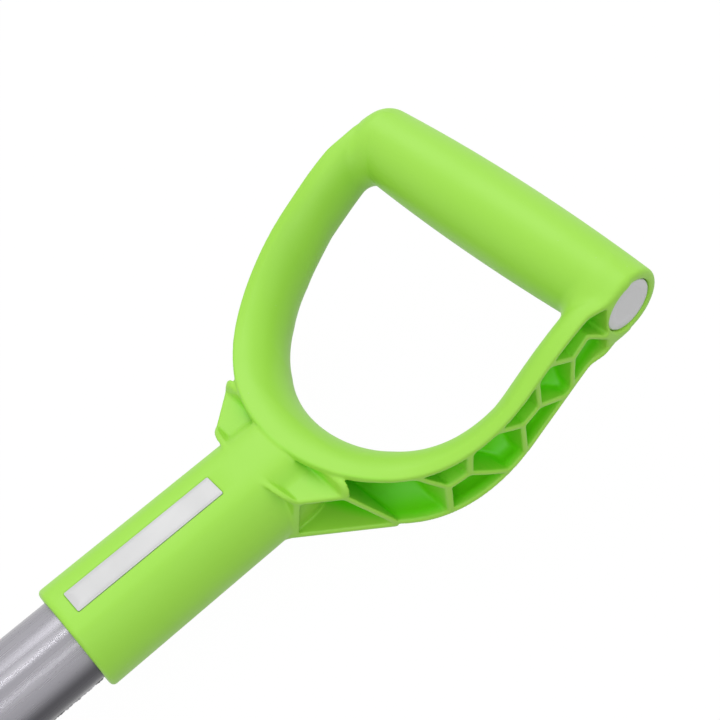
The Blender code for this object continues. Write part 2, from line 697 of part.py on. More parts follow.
def blade_point(u, v):
    """A point of the blade's back: u from -1 to 1 across, v from 0 at the shoulders to 1."""
    half = (BLADE_WIDTH + (BLADE_TIP_WIDTH - BLADE_WIDTH) * v) / 2
    side = max(0.0, (abs(u) - FLAT_SHARE) / (1.0 - FLAT_SHARE))
    toe = max(0.0, (v - TOE_START) / (1.0 - TOE_START))
    length = BLADE_LENGTH - EDGE_SAG * u * u
    return Vector((u * half, -v * length, DISH * side * side + TOE_RISE * toe * toe - AXIS_HEIGHT))


def make_sheet(collection):
    """The pressed sheet of the blade, with its flat middle, raised sides and curved toe."""
    bm = bmesh.new()
    bmesh.ops.create_grid(bm, x_segments=SHEET_STEPS_ACROSS, y_segments=SHEET_STEPS_ALONG, size=1.0)
    for vertex in bm.verts:
        vertex.co = blade_point(vertex.co.x, (1.0 - vertex.co.y) / 2)
    sheet = add_mesh("blade", bm, collection, BLADE_FRAME)
    if sheet.data.polygons[0].normal.z < 0.0:
        sheet.data.flip_normals()
    solid = sheet.modifiers.new("sheet", "SOLIDIFY")
    solid.thickness = BLADE_SHEET
    solid.offset = 1.0
    return sheet


def frog_ring(y, radius, steps):
    """A round section: about the shaft's axis at the socket, sunk into the sheet along the ridge."""
    sink = AXIS_HEIGHT - BLADE_SOCKET_RADIUS - FROG_FLOOR
    centre = radius - BLADE_SOCKET_RADIUS - (sink if y <= 0.0 else 0.0)
    ring = []
    for k in range(steps):
        angle = 2 * math.pi * (k + 0.5) / steps
        ring.append((radius * math.cos(angle), y, centre + radius * math.sin(angle)))
    return ring


def frog_radius(share):
    """Radius of the ridge, from the socket's at the shoulders to its small end."""
    fall = share * share * (3.0 - 2.0 * share)
    taper = FROG_STRAIGHT_SHARE * share + (1.0 - FROG_STRAIGHT_SHARE) * fall
    return BLADE_SOCKET_RADIUS + (FROG_END_RADIUS - BLADE_SOCKET_RADIUS) * taper


def make_frog(name, collection, shrink, start):
    """The socket and the ridge under it as one tapering body, shrunk for its hollow."""
    rings = []
    steps = 28
    for y in (start, TUBE_STOP, 0.0):
        rings.append(frog_ring(y, BLADE_SOCKET_RADIUS, steps))
    count = 8
    for k in range(1, count + 1):
        share = k / count
        rings.append(frog_ring(-FROG_LENGTH * share, frog_radius(share), steps))
    shrunk = []
    for ring in rings:
        middle = sum((Vector(point) for point in ring), Vector()) / len(ring)
        radius = (Vector(ring[0]) - middle).length
        scale = max(radius - shrink, FROG_HOLLOW_TIP) / radius
        shrunk.append([tuple(middle + (Vector(point) - middle) * scale) for point in ring])
    return as_cutter(loft(name, shrunk, collection, BLADE_FRAME))


def make_blade(parts, cutters, rivet_holes, material):
    """The blade with its socket, its hollow ridge that is open at the back, and its holes."""
    blade = make_sheet(parts)
    blade.data.materials.append(material)
    boolean(blade, "UNION", make_frog("frog_outside", cutters, 0.0, BLADE_SOCKET_LENGTH))
    boolean(blade, "DIFFERENCE", make_frog("frog_hollow", cutters, BLADE_SOCKET_WALL,
                                           BLADE_SOCKET_LENGTH + CUT_OVERRUN))
    slot = as_cutter(make_box("frog_slot", (-FROG_SLOT_WIDTH / 2, -FROG_SLOT_END, -AXIS_HEIGHT - CUT_OVERRUN),
                              (FROG_SLOT_WIDTH / 2, -FROG_SLOT_START,
                               CUT_OVERRUN - AXIS_HEIGHT + BLADE_SOCKET_WALL),
                              cutters, BLADE_FRAME))
    boolean(blade, "DIFFERENCE", slot)
    for hole in rivet_holes:
        boolean(blade, "DIFFERENCE", hole)


def make_treads(parts, material):
    """The flat steel steps welded on the shoulders, one each side."""
    low = SHOULDER_Y + FIT_GAP
    outer = BLADE_WIDTH / 2 - TREAD_MARGIN
    middle = (TREAD_INNER + outer) / 2
    for name, side in (("tread_right", 1.0), ("tread_left", -1.0)):
        bm = bmesh.new()
        size = Vector((outer - TREAD_INNER, TREAD_THICKNESS, TREAD_DEPTH))
        centre = Vector((side * middle, low + TREAD_THICKNESS / 2, FIT_GAP + TREAD_DEPTH / 2))
        bmesh.ops.create_cube(bm, size=1.0, matrix=Matrix.Translation(centre) @ Matrix.Diagonal((*size, 1.0)))
        upright = [edge for edge in bm.edges
                   if abs(edge.verts[0].co.y - edge.verts[1].co.y) > TREAD_THICKNESS / 2
                   and edge.verts[0].co.z > centre.z]
        bmesh.ops.bevel(bm, geom=upright, offset=TREAD_ROUND, segments=4, affect="EDGES", profile=0.5)
        tread = add_mesh(name, bm, parts)
        tread.data.materials.append(material)


def rivet_profile(grow):
    """Profile of a rivet with two domed heads, or of its hole when grown by a clearance."""
    seat = BLADE_SOCKET_RADIUS + FIT_GAP
    shank = RIVET_RADIUS + grow
    if grow > 0.0:
        out = seat + RIVET_HEAD_HEIGHT
        return [(0.0, out), (shank, out), (shank, -out), (0.0, -out)]
    dome = []
    for k in range(5):
        angle = math.radians(22.5 * k)
        dome.append((RIVET_HEAD_RADIUS * math.sin(angle), seat + RIVET_HEAD_HEIGHT * math.cos(angle)))
    upper = dome + [(shank, seat)]
    return upper + [(radius, -height) for radius, height in reversed(upper)]


def make_rivets(names, collection, grow):
    """The rivets that cross the blade's socket from side to side, or their holes."""
    return [turned(name, rivet_profile(grow), RIVET_STEPS, collection,
                   along_x((0.0, SHOULDER_Y + place, AXIS_HEIGHT)))
            for name, place in zip(names, RIVET_PLACES)]


def main():
    """Build every piece of the spade."""
    parts, cutters = start_scene()
    green = make_material("green")
    zinc = make_material("zinc")
    steel = make_material("blade")
    screw_hole = make_grip(parts, cutters, green)
    make_plug(parts, make_material("plug"))
    make_label(parts, make_material("label"))
    rivet_holes = [as_cutter(hole) for hole in make_rivets(("lower_hole", "upper_hole"), cutters, FIT_GAP)]
    make_tube(parts, [screw_hole, *rivet_holes], make_material("tube"))
    make_blade(parts, cutters, rivet_holes, steel)
    make_treads(parts, steel)
    screw = turned("grip_screw", screw_profile(0.0), FINE_STEPS, parts, screw_frame())
    for fastener in (screw, *make_rivets(("socket_rivet_lower", "socket_rivet_upper"), parts, 0.0)):
        fastener.data.materials.append(zinc)


main()
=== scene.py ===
"""Looks of a digging spade with a tubular steel shaft and a moulded D-shaped grip.

Metres, +Z up. The spade lies on its back: +Y runs along the shaft to the grip, +X along the crossbar.
"""

from __future__ import annotations

import logging
import math
from dataclasses import dataclass, field
from enum import Enum
from typing import Callable

import bmesh
import bpy
import numpy as np
from mathutils import Matrix, Vector


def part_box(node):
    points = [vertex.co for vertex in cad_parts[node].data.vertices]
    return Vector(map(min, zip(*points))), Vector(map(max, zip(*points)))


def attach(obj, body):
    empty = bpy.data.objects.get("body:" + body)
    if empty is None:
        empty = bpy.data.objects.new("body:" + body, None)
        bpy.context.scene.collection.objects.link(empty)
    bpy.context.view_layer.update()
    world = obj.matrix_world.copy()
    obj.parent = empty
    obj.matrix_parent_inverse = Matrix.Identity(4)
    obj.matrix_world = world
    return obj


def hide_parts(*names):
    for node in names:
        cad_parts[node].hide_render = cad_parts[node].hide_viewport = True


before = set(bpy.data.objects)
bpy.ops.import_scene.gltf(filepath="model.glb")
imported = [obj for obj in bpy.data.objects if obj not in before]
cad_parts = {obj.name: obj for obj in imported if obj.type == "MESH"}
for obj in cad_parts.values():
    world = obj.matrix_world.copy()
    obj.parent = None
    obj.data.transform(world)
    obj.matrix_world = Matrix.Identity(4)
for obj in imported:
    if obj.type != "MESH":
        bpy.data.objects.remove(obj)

MM = 0.001
FAR = 1e9
# The mesh layer that carries painted shade in the grip's hollows.
PAINTED_SHADE_LAYER = "painted_hollow_shade"
ROOT = "root"
WHITE = (1.0, 1.0, 1.0)

log = logging.getLogger("spade")

Grid = np.ndarray
Item = bpy.types.Object
Mesh = bpy.types.Mesh
Material = bpy.types.Material
Node = bpy.types.Node
Socket = bpy.types.NodeSocket
Pair = tuple[float, float]
Triple = tuple[float, float, float]
Profile = list[Pair]


# Nodes and shared shader groups

class Nodes:
    """A node tree, with a short way to add each thing that it holds."""

    def __init__(self, tree: bpy.types.NodeTree) -> None:
        """Take up a tree."""
        self.tree = tree

    def wire(self, socket: Socket, value: object) -> None:
        """Feed a socket from another socket, or set its value. A plain colour gets full alpha.

        Args:
            socket: the input to feed.
            value: an output socket, or a plain value.
        """
        if isinstance(value, Socket):
            self.tree.links.new(value, socket)
        else:
            socket.default_value = (*value, 1.0) if socket.type == "RGBA" else value

    def add(self, kind: str, inputs: dict | None = None, **settings: object) -> Node:
        """Add a node.

        Args:
            kind: the node's type name.
            inputs: values or sockets by the input's name or number.
            settings: the node's own properties.

        Returns:
            The new node.
        """
        node = self.tree.nodes.new(kind)
        for name, value in settings.items():
            setattr(node, name, value)
        for name, value in (inputs or {}).items():
            self.wire(node.inputs[name], value)
        return node

    def maths(self, operation: str, *values: object) -> Socket:
        """The result of one operation on values or sockets."""
        return self.add("ShaderNodeMath", dict(enumerate(values)), operation=operation).outputs[0]

    def ramp(self, value: object, low: float, high: float, start: object = 0.0, end: object = 1.0) -> Socket:
        """Map a range of values smoothly to another range: start at low and below, end at high and above."""
        inputs = {"Value": value, "From Min": low, "From Max": high, "To Min": start, "To Max": end}
        return self.add("ShaderNodeMapRange", inputs, interpolation_type="SMOOTHSTEP").outputs["Result"]

    def blend(self, share: object, first: object, second: object) -> Socket:
        """Mix two colours by a share from 0 to 1."""
        inputs = {0: share, 6: first, 7: second}
        return self.add("ShaderNodeMix", inputs, data_type="RGBA", blend_type="MIX").outputs[2]

    def noise(self, vector: Socket, scale: object, **inputs: float) -> Socket:
        """Noise from 0 to 1, with the texture's own inputs by name."""
        return self.add("ShaderNodeTexNoise", {"Vector": vector, "Scale": scale, **inputs}).outputs["Fac"]

    def point(self, stretch: Triple = (1.0, 1.0, 1.0)) -> Socket:
        """Object coordinates, stretched along each axis by a Mapping node."""
        source = self.add("ShaderNodeTexCoord").outputs["Object"]
        return self.add("ShaderNodeMapping", {"Vector": source, "Scale": stretch}).outputs["Vector"]

    def parts(self, vector: Socket) -> bpy.types.NodeOutputs:
        """A vector's X, Y and Z."""
        return self.add("ShaderNodeSeparateXYZ", {"Vector": vector}).outputs

    def bump(self, height: Socket, depth: float) -> Socket:
        """A normal from a height of 0 to 1, with the depth of a full step in metres."""
        inputs = {"Height": height, "Distance": depth, "Strength": 1.0}
        return self.add("ShaderNodeBump", inputs).outputs["Normal"]


def start_material(name: str) -> tuple[Material, Nodes, Node]:
    """A new material, its nodes and its Principled shader."""
    material = bpy.data.materials.new(name)
    material.use_nodes = True
    nodes = Nodes(material.node_tree)
    return material, nodes, nodes.tree.nodes["Principled BSDF"]


class EffectGroup(Nodes):
    """A shader node group that several materials share, built once."""

    def __init__(self, name: str, inputs: dict[str, float], outputs: tuple[str, ...]) -> None:
        """Make the empty group, with a vector and float inputs, and float outputs.

        Args:
            name: the group's name.
            inputs: default value by input name.
            outputs: names of the outputs.
        """
        super().__init__(bpy.data.node_groups.new(name, "ShaderNodeTree"))
        new_socket = self.tree.interface.new_socket
        new_socket("Vector", in_out="INPUT", socket_type="NodeSocketVector")
        for label, value in inputs.items():
            new_socket(label, in_out="INPUT", socket_type="NodeSocketFloat").default_value = value
        for label in outputs:
            new_socket(label, in_out="OUTPUT", socket_type="NodeSocketFloat")
        self.given = self.tree.nodes.new("NodeGroupInput").outputs
        self.result = self.tree.nodes.new("NodeGroupOutput").inputs

    def scale(self, size: str) -> Socket:
        """The texture scale for the size that an input gives."""
        return self.maths("DIVIDE", 1.0, self.given[size])

    def place(self, nodes: Nodes, vector: Socket, **values: float) -> bpy.types.NodeOutputs:
        """Place the group in a material.

        Args:
            nodes: the material's nodes.
            vector: the coordinates to feed.
            values: input values, with underscores for spaces.

        Returns:
            The group's outputs.
        """
        inputs = {label.replace("_", " "): value for label, value in values.items()}
        return nodes.add("ShaderNodeGroup", {"Vector": vector, **inputs}, node_tree=self.tree).outputs


def make_grain_group() -> EffectGroup:
    """The fine spark-eroded grain and the faint flow marks of a moulded or coated surface.

    Returns:
        The group, with the outputs Height and Flow.
    """
    group = EffectGroup("surface_grain", {"Grain Size": 0.0006, "Flow Size": 0.03}, ("Height", "Flow"))
    vector = group.given["Vector"]
    grain = group.noise(vector, group.scale("Grain Size"), Detail=3.0, Roughness=0.6)
    flow = group.noise(vector, group.scale("Flow Size"), Detail=2.0, Distortion=0.6)
    group.wire(group.result["Height"], grain)
    group.wire(group.result["Flow"], group.ramp(flow, 0.3, 0.7))
    return group


def make_marks_group() -> EffectGroup:
    """Short thin handling scratches and small specks.

    Returns:
        The group, with the outputs Scratches and Specks.
    """
    group = EffectGroup("handling_marks", {"Scratch Size": 0.02, "Speck Size": 0.006, "Amount": 0.5},
                        ("Scratches", "Specks"))
    vector, amount, scale = group.given["Vector"], group.given["Amount"], group.scale("Scratch Size")
    wave = group.noise(vector, scale, Detail=4.0, Distortion=3.0)
    line = group.maths("ABSOLUTE", group.maths("SUBTRACT", wave, 0.5))
    thin = group.ramp(line, 0.0, 0.004, 1.0, 0.0)
    where = group.noise(vector, group.maths("MULTIPLY", scale, 1.7))
    limit = group.maths("SUBTRACT", 0.80, group.maths("MULTIPLY", amount, 0.3))
    patch = group.maths("GREATER_THAN", where, limit)
    group.wire(group.result["Scratches"], group.maths("MULTIPLY", thin, patch))
    cells = group.add("ShaderNodeTexVoronoi", {"Vector": vector, "Scale": group.scale("Speck Size")})
    size = group.maths("MULTIPLY", amount, 0.10)
    group.wire(group.result["Specks"], group.maths("LESS_THAN", cells.outputs["Distance"], size))
    return group


class Effects:
    """The shared shader groups."""

    grain: EffectGroup
    marks: EffectGroup

    @classmethod
    def build(cls) -> None:
        """Make every shared group once."""
        cls.grain = make_grain_group()
        cls.marks = make_marks_group()


# Finishes

def shade(colour: Triple, factor: float, lift: float = 0.0) -> Triple:
    """A colour made darker or brighter by a factor, and lifted, up to white."""
    return tuple(min(1.0, value * factor + lift) for value in colour)


@dataclass(frozen=True)
class Finish:
    """A plain finish. Each kind of surface adds its own nodes."""

    name: str
    colour: Triple
    roughness: float
    metallic: float = 0.0
    specular: float = 0.5
    grain_depth: float = 0.00002

    def build(self) -> Material:
        """Make the material with its Principled shader and its own detail.

        Returns:
            The material.
        """
        material, nodes, shader = start_material(self.name)
        plain = {"Base Color": self.colour, "Roughness": self.roughness, "Metallic": self.metallic,
                 "Specular IOR Level": self.specular}
        for values in (plain, self.dress(nodes)):
            for name, value in values.items():
                nodes.wire(shader.inputs[name], value)
        return material

    def dress(self, nodes: Nodes) -> dict[str, object]:
        """What this kind of surface feeds to the shader, by input. A plain finish feeds nothing."""
        return {}


@dataclass(frozen=True)
class MouldedPlastic(Finish):
    """Satin moulded plastic with spark-eroded grain, faint flow marks, a few handling marks, and, where a
    shade colour is given, painted shade deep in its hollows.
    """

    deep_colour: Triple = (0.0, 0.0, 0.0)
    hollow_shade_colour: Triple | None = None
    mark_amount: float = 0.25
    flow_share: float = 0.35
    dust_share: float = 0.35
    dust_factor: float = 0.6
    dust_lift: float = 0.25
    gloss_change: float = 0.06

    def dress(self, nodes: Nodes) -> dict[str, object]:
        """Vary the colour and gloss, paint shade into the hollows, and add grain and marks.

        Args:
            nodes: the material's nodes.

        Returns:
            What feeds the shader, by input.
        """
        point = nodes.point()
        grain = Effects.grain.place(nodes, point, Grain_Size=0.0008, Flow_Size=0.035)
        marks = Effects.marks.place(nodes, point, Scratch_Size=0.03, Speck_Size=0.009,
                                    Amount=self.mark_amount)
        share = nodes.maths("MULTIPLY", grain["Flow"], self.flow_share)
        flowed = nodes.blend(share, self.colour, self.deep_colour)
        # Painted shade: a deeper, more saturated green towards the bottom of the honeycomb hollows, where
        # shade falls.
        if self.hollow_shade_colour:
            depth = nodes.add("ShaderNodeAttribute", attribute_name=PAINTED_SHADE_LAYER).outputs["Fac"]
            flowed = nodes.blend(depth, flowed, self.hollow_shade_colour)
        dust = nodes.maths("MULTIPLY", marks["Specks"], self.dust_share)
        pale = shade(self.colour, self.dust_factor, self.dust_lift)
        low = self.roughness - self.gloss_change / 2
        height = nodes.maths("SUBTRACT", grain["Height"], marks["Scratches"])
        return {"Base Color": nodes.blend(dust, flowed, pale),
                "Roughness": nodes.maths("MULTIPLY_ADD", grain["Flow"], self.gloss_change, low),
                "Normal": nodes.bump(height, self.grain_depth)}


@dataclass(frozen=True)
class DrawnTube(Finish):
    """Silvery lacquered tube with streaks, dark specks and a painted dark reflection in a strip beside the
    seam, by its angle about the shaft.
    """

    streak_colour: Triple = (0.8, 0.8, 0.8)
    speck_colour: Triple = (0.1, 0.1, 0.1)
    dark_reflection_colour: Triple = (0.075, 0.073, 0.082)
    dark_reflection_start: Pair = (-1.1, -0.8)
    dark_reflection_end: Pair = (math.radians(8.0), math.radians(36.0))
    speck_start: Pair = (1.7, 2.1)
    speck_share: Pair = (0.25, 0.85)
    axis_height: float = 0.0203
    streak_stretch: float = 0.035
    streak_scale: float = 420.0

    def dress(self, nodes: Nodes) -> dict[str, object]:
        """Add streaks along the tube, specks, a fine sparkle and a painted dark reflection in a strip beside
        the seam.

        Args:
            nodes: the material's nodes.

        Returns:
            What feeds the shader, by input.
        """
        point = nodes.point()
        streaks = nodes.noise(nodes.point((1.0, self.streak_stretch, 1.0)), self.streak_scale,
                              Detail=5.0, Roughness=0.65)
        toned = nodes.blend(nodes.ramp(streaks, 0.35, 0.75), self.colour, self.streak_colour)
        parts = nodes.parts(point)
        angle = nodes.maths("ARCTAN2", nodes.maths("SUBTRACT", parts["Z"], self.axis_height), parts["X"])
        # Painted reflection: a dark strip beside the seam, set by the angle about the shaft.
        strip = nodes.maths("MULTIPLY", nodes.ramp(angle, *self.dark_reflection_end, 1.0, 0.0),
                            nodes.ramp(angle, *self.dark_reflection_start))
        marks = Effects.marks.place(nodes, point, Scratch_Size=0.018, Speck_Size=0.0022, Amount=0.9)
        most = nodes.ramp(angle, *self.speck_start, *self.speck_share)
        specks = nodes.maths("MULTIPLY", marks["Specks"], most)
        sparkle = Effects.grain.place(nodes, point, Grain_Size=0.00045, Flow_Size=0.01)
        height = nodes.maths("ADD", nodes.maths("MULTIPLY", streaks, 0.4), sparkle["Height"])
        shaded = nodes.blend(strip, toned, self.dark_reflection_colour)
        return {"Base Color": nodes.blend(specks, shaded, self.speck_colour),
                "Roughness": nodes.ramp(streaks, 0.3, 0.7, self.roughness - 0.03, self.roughness + 0.05),
                "Normal": nodes.bump(height, self.grain_depth)}


@dataclass(frozen=True)
class PowderCoat(Finish):
    """Powder coated steel with orange peel, scuffs, and bare metal below a line near the cutting edge."""

    bare_colour: Triple = (0.55, 0.55, 0.56)
    flow_share: float = 0.3
    flow_factor: float = 1.35
    bare_roughness: float = 0.30
    bare_metallic: float = 0.95
    bare_below: float = -10.0
    bare_width: float = 0.004
    edge_curve: float = 0.0
    edge_wobble: float = 0.008

    def dress(self, nodes: Nodes) -> dict[str, object]:
        """Mix the coat with bare ground steel, and add peel and scratches.

        Args:
            nodes: the material's nodes.

        Returns:
            What feeds the shader, by input.
        """
        point = nodes.point()
        grain = Effects.grain.place(nodes, point, Grain_Size=0.0014, Flow_Size=0.05)
        marks = Effects.marks.place(nodes, point, Scratch_Size=0.05, Speck_Size=0.012, Amount=0.6)
        wobble = nodes.noise(point, 90.0, Detail=4.0)
        parts = nodes.parts(point)
        bow = nodes.maths("MULTIPLY", nodes.maths("MULTIPLY", parts["X"], parts["X"]), self.edge_curve)
        uneven = nodes.maths("MULTIPLY", nodes.maths("SUBTRACT", wobble, 0.5), self.edge_wobble)
        level = nodes.maths("ADD", nodes.maths("SUBTRACT", parts["Y"], bow), uneven)
        bare = nodes.ramp(level, self.bare_below, self.bare_below + self.bare_width, 1.0, 0.0)
        worn = nodes.maths("MAXIMUM", bare, nodes.maths("MULTIPLY", marks["Scratches"], 0.5))
        share = nodes.maths("MULTIPLY", grain["Flow"], self.flow_share)
        coat = nodes.blend(share, self.colour, shade(self.colour, self.flow_factor))
        peel = nodes.maths("MULTIPLY", grain["Height"], nodes.maths("SUBTRACT", 1.0, bare))
        return {"Base Color": nodes.blend(worn, coat, self.bare_colour),
                "Metallic": nodes.maths("MULTIPLY", worn, self.bare_metallic),
                "Roughness": nodes.ramp(worn, 0.0, 1.0, self.roughness, self.bare_roughness),
                "Normal": nodes.bump(nodes.maths("SUBTRACT", peel, marks["Scratches"]), self.grain_depth)}


@dataclass(frozen=True)
class ZincPlate(Finish):
    """Bright zinc plate with small cloudy patches."""

    cloud_factor: float = 0.75
    cloud_dulling: float = 0.12

    def dress(self, nodes: Nodes) -> dict[str, object]:
        """Cloud the colour and gloss in small patches.

        Args:
            nodes: the material's nodes.

        Returns:
            What feeds the shader, by input.
        """
        grain = Effects.grain.place(nodes, nodes.point(), Grain_Size=0.0005, Flow_Size=0.003)
        dull = self.roughness + self.cloud_dulling
        return {"Base Color": nodes.blend(grain["Flow"], self.colour, shade(self.colour, self.cloud_factor)),
                "Roughness": nodes.ramp(grain["Flow"], 0.0, 1.0, self.roughness, dull),
                "Normal": nodes.bump(grain["Height"], self.grain_depth)}


@dataclass(frozen=True)
class GlossSticker(Finish):
    """A glossy white domed sticker, bare, with a clear coat."""

    coat: float = 0.4
    coat_roughness: float = 0.12
    flow_factor: float = 0.93

    def dress(self, nodes: Nodes) -> dict[str, object]:
        """Give it a clear coat and the faint unevenness of poured resin.

        Args:
            nodes: the material's nodes.

        Returns:
            What feeds the shader, by input.
        """
        grain = Effects.grain.place(nodes, nodes.point(), Grain_Size=0.004, Flow_Size=0.02)
        return {"Coat Weight": self.coat, "Coat Roughness": self.coat_roughness,
                "Base Color": nodes.blend(grain["Flow"], self.colour, shade(self.colour, self.flow_factor)),
                "Normal": nodes.bump(grain["Height"], self.grain_depth)}


class Finishes(Enum):
    """Every finish on the spade."""

    # The grip's hollow shade colour is painted shade for the bottom of its honeycomb hollows.
    GRIP = MouldedPlastic("lime_plastic", (0.325, 0.690, 0.054), 0.45, specular=0.52,
                          deep_colour=(0.308, 0.682, 0.046), hollow_shade_colour=(0.150, 0.745, 0.002))
    PLUG = MouldedPlastic("grey_plastic", (0.680, 0.680, 0.690), 0.36, deep_colour=(0.640, 0.640, 0.650))
    LABEL = GlossSticker("white_sticker", (0.590, 0.590, 0.595), 0.26, grain_depth=0.00003)
    TUBE = DrawnTube("silver_tube", (0.330, 0.322, 0.352), 0.25, metallic=0.75, grain_depth=0.000012,
                     streak_colour=(0.370, 0.362, 0.392), speck_colour=(0.090, 0.085, 0.090))
    BLADE = PowderCoat("dark_powder_coat", (0.050, 0.053, 0.057), 0.42, grain_depth=0.00005,
                       bare_below=-0.580, edge_curve=3.2)
    ZINC = ZincPlate("zinc_plate", (0.640, 0.640, 0.650), 0.30, metallic=0.95, grain_depth=0.00001)
    WELD = ZincPlate("weld_metal", (0.420, 0.410, 0.430), 0.34, metallic=0.80, grain_depth=0.00001)

    def material(self) -> Material:
        """The finish's material, made once."""
        return bpy.data.materials.get(self.value.name) or self.value.build()


# Meshes and objects

def link(name: str, data: bpy.types.ID) -> Item:
    """Put a mesh, a lamp or a camera in the scene as an object."""
    item = bpy.data.objects.new(name, data)
    bpy.context.scene.collection.objects.link(item)
    return item


def show(name: str, mesh: Mesh, finish: Finishes) -> Item:
    """Put a mesh in the scene in a finish."""
    mesh.materials.clear()
    mesh.materials.append(finish.material())
    return link(name, mesh)


def settled(carrier: Item, *helpers: Item) -> Mesh:
    """Turn an object with modifiers into a plain mesh, and remove it.

    Args:
        carrier: the object.
        helpers: the objects that its modifiers used, which are removed too.

    Returns:
        The mesh.
    """
    bpy.context.view_layer.update()
    mesh = bpy.data.meshes.new_from_object(carrier.evaluated_get(bpy.context.evaluated_depsgraph_get()))
    carrier.modifiers.clear()
    for item in (carrier, *helpers):
        spent = item.data
        bpy.data.objects.remove(item, do_unlink=True)
        bpy.data.meshes.remove(spent)
    return mesh


def free_mesh(name: str, bm: bmesh.types.BMesh) -> Mesh:
    """A named mesh from a bmesh, which is freed."""
    mesh = bpy.data.meshes.new(name)
    bm.to_mesh(mesh)
    bm.free()
    return mesh


def primitive(name: str, make: Callable, **sizes: object) -> Mesh:
    """A named mesh from one of bmesh's primitives."""
    bm = bmesh.new()
    make(bm, **sizes)
    return free_mesh(name, bm)


def outwards(mesh: Mesh) -> None:
    """Turn a closed mesh's faces outwards."""
    bm = bmesh.new()
    bm.from_mesh(mesh)
    bmesh.ops.recalc_face_normals(bm, faces=bm.faces)
    if bm.calc_volume(signed=True) < 0.0:
        bmesh.ops.reverse_faces(bm, faces=bm.faces)
    bm.to_mesh(mesh)
    bm.free()


def show_smooth(name: str, mesh: Mesh, finish: Finishes, sharp: float = 38.0) -> Item:
    """Put a closed mesh in the scene, smooth but for its clear edges.

    Args:
        name: the object's name.
        mesh: the mesh, with its place in it.
        finish: what it is made of.
        sharp: angle in degrees from which an edge stays sharp.

    Returns:
        The object.
    """
    outwards(mesh)
    mesh.shade_smooth()
    mesh.set_sharp_from_angle(angle=math.radians(sharp))
    return show(name, mesh, finish)


# Solid shapes from fields: a field is negative inside the body and counts millimetres to its surface

def join_round(first: Grid, second: Grid, radius: float | Grid) -> Grid:
    """Union of two bodies with a fillet of a radius in the corner between them."""
    nearest = np.maximum(radius, np.minimum(first, second))
    return nearest - np.hypot(np.maximum(radius - first, 0.0), np.maximum(radius - second, 0.0))


def share_round(first: Grid, second: Grid, radius: float | Grid) -> Grid:
    """What two bodies share, with a rounded edge where their faces meet."""
    deepest = np.minimum(-radius, np.maximum(first, second))
    return deepest + np.hypot(np.maximum(radius + first, 0.0), np.maximum(radius + second, 0.0))


def cut_round(body: Grid, tool: Grid, radius: float) -> Grid:
    """A body with a tool cut out of it, and a rounded edge along the cut."""
    return share_round(body, -tool, radius)


def part_way(values: Grid, start: float, length: float) -> Grid:
    """How much of a length the values have passed since its start, from 0 to 1."""
    return np.clip((values - start) / length, 0.0, 1.0)


def ellipse_field(across: Grid, up: Grid, half_across: Grid, half_up: Grid) -> Grid:
    """Distance to an ellipse, to first order, with its corner at the middle when either is zero."""
    square = (across / half_across) ** 2 + (up / half_up) ** 2
    slope = 2.0 * np.sqrt((across / half_across ** 2) ** 2 + (up / half_up ** 2) ** 2)
    return np.maximum((square - 1.0) / np.maximum(slope, 1e-4), -np.minimum(half_across, half_up))


def even_out(values: Grid, step: float) -> Grid:
    """Scale a field to count true distances near its surface, by its own slope."""
    steepness = np.sqrt(sum(slope * slope for slope in np.gradient(values, step)))
    return values / np.clip(steepness, 0.5, 3.0)


def polygon_field(points: Profile, first: Grid, second: Grid) -> Grid:
    """Distance to a polygon in a plane, negative inside.

    Args:
        points: the polygon's corners.
        first: the plane's first coordinate, on a grid.
        second: the second coordinate, on the same grid.

    Returns:
        The distance on that grid.
    """
    nearest = np.full(np.broadcast(first, second).shape, FAR)
    inside = np.zeros(nearest.shape, bool)
    for (a, b), (c, d) in zip(points, points[1:] + points[:1]):
        run, rise = c - a, d - b
        along = np.clip(((first - a) * run + (second - b) * rise) / (run * run + rise * rise), 0.0, 1.0)
        nearest = np.minimum(nearest, np.hypot(first - a - along * run, second - b - along * rise))
        if rise:
            inside ^= ((second > b) != (second > d)) & (first < a + (second - b) * run / rise)
    return np.where(inside, -nearest, nearest)


@dataclass(frozen=True)
class Lattice:
    """The even grid on which a field is worked out, in millimetres, symmetric about X = 0."""

    step: float
    reach_x: float
    low_y: float
    high_y: float
    low_z: float
    high_z: float

    def axes(self) -> tuple[Grid, Grid, Grid]:
        """X from half a step to the reach, and Y and Z from low to high, shaped to combine."""
        x = (np.arange(int(self.reach_x / self.step)) + 0.5) * self.step
        y = np.arange(self.low_y, self.high_y, self.step)
        z = np.arange(self.low_z, self.high_z, self.step)
        return tuple(axis.astype(np.float32) for axis in np.ix_(x, y, z))

    def origin(self) -> Grid:
        """Place of the first point of the mirrored grid."""
        return np.array([-(int(self.reach_x / self.step) - 0.5) * self.step, self.low_y, self.low_z])


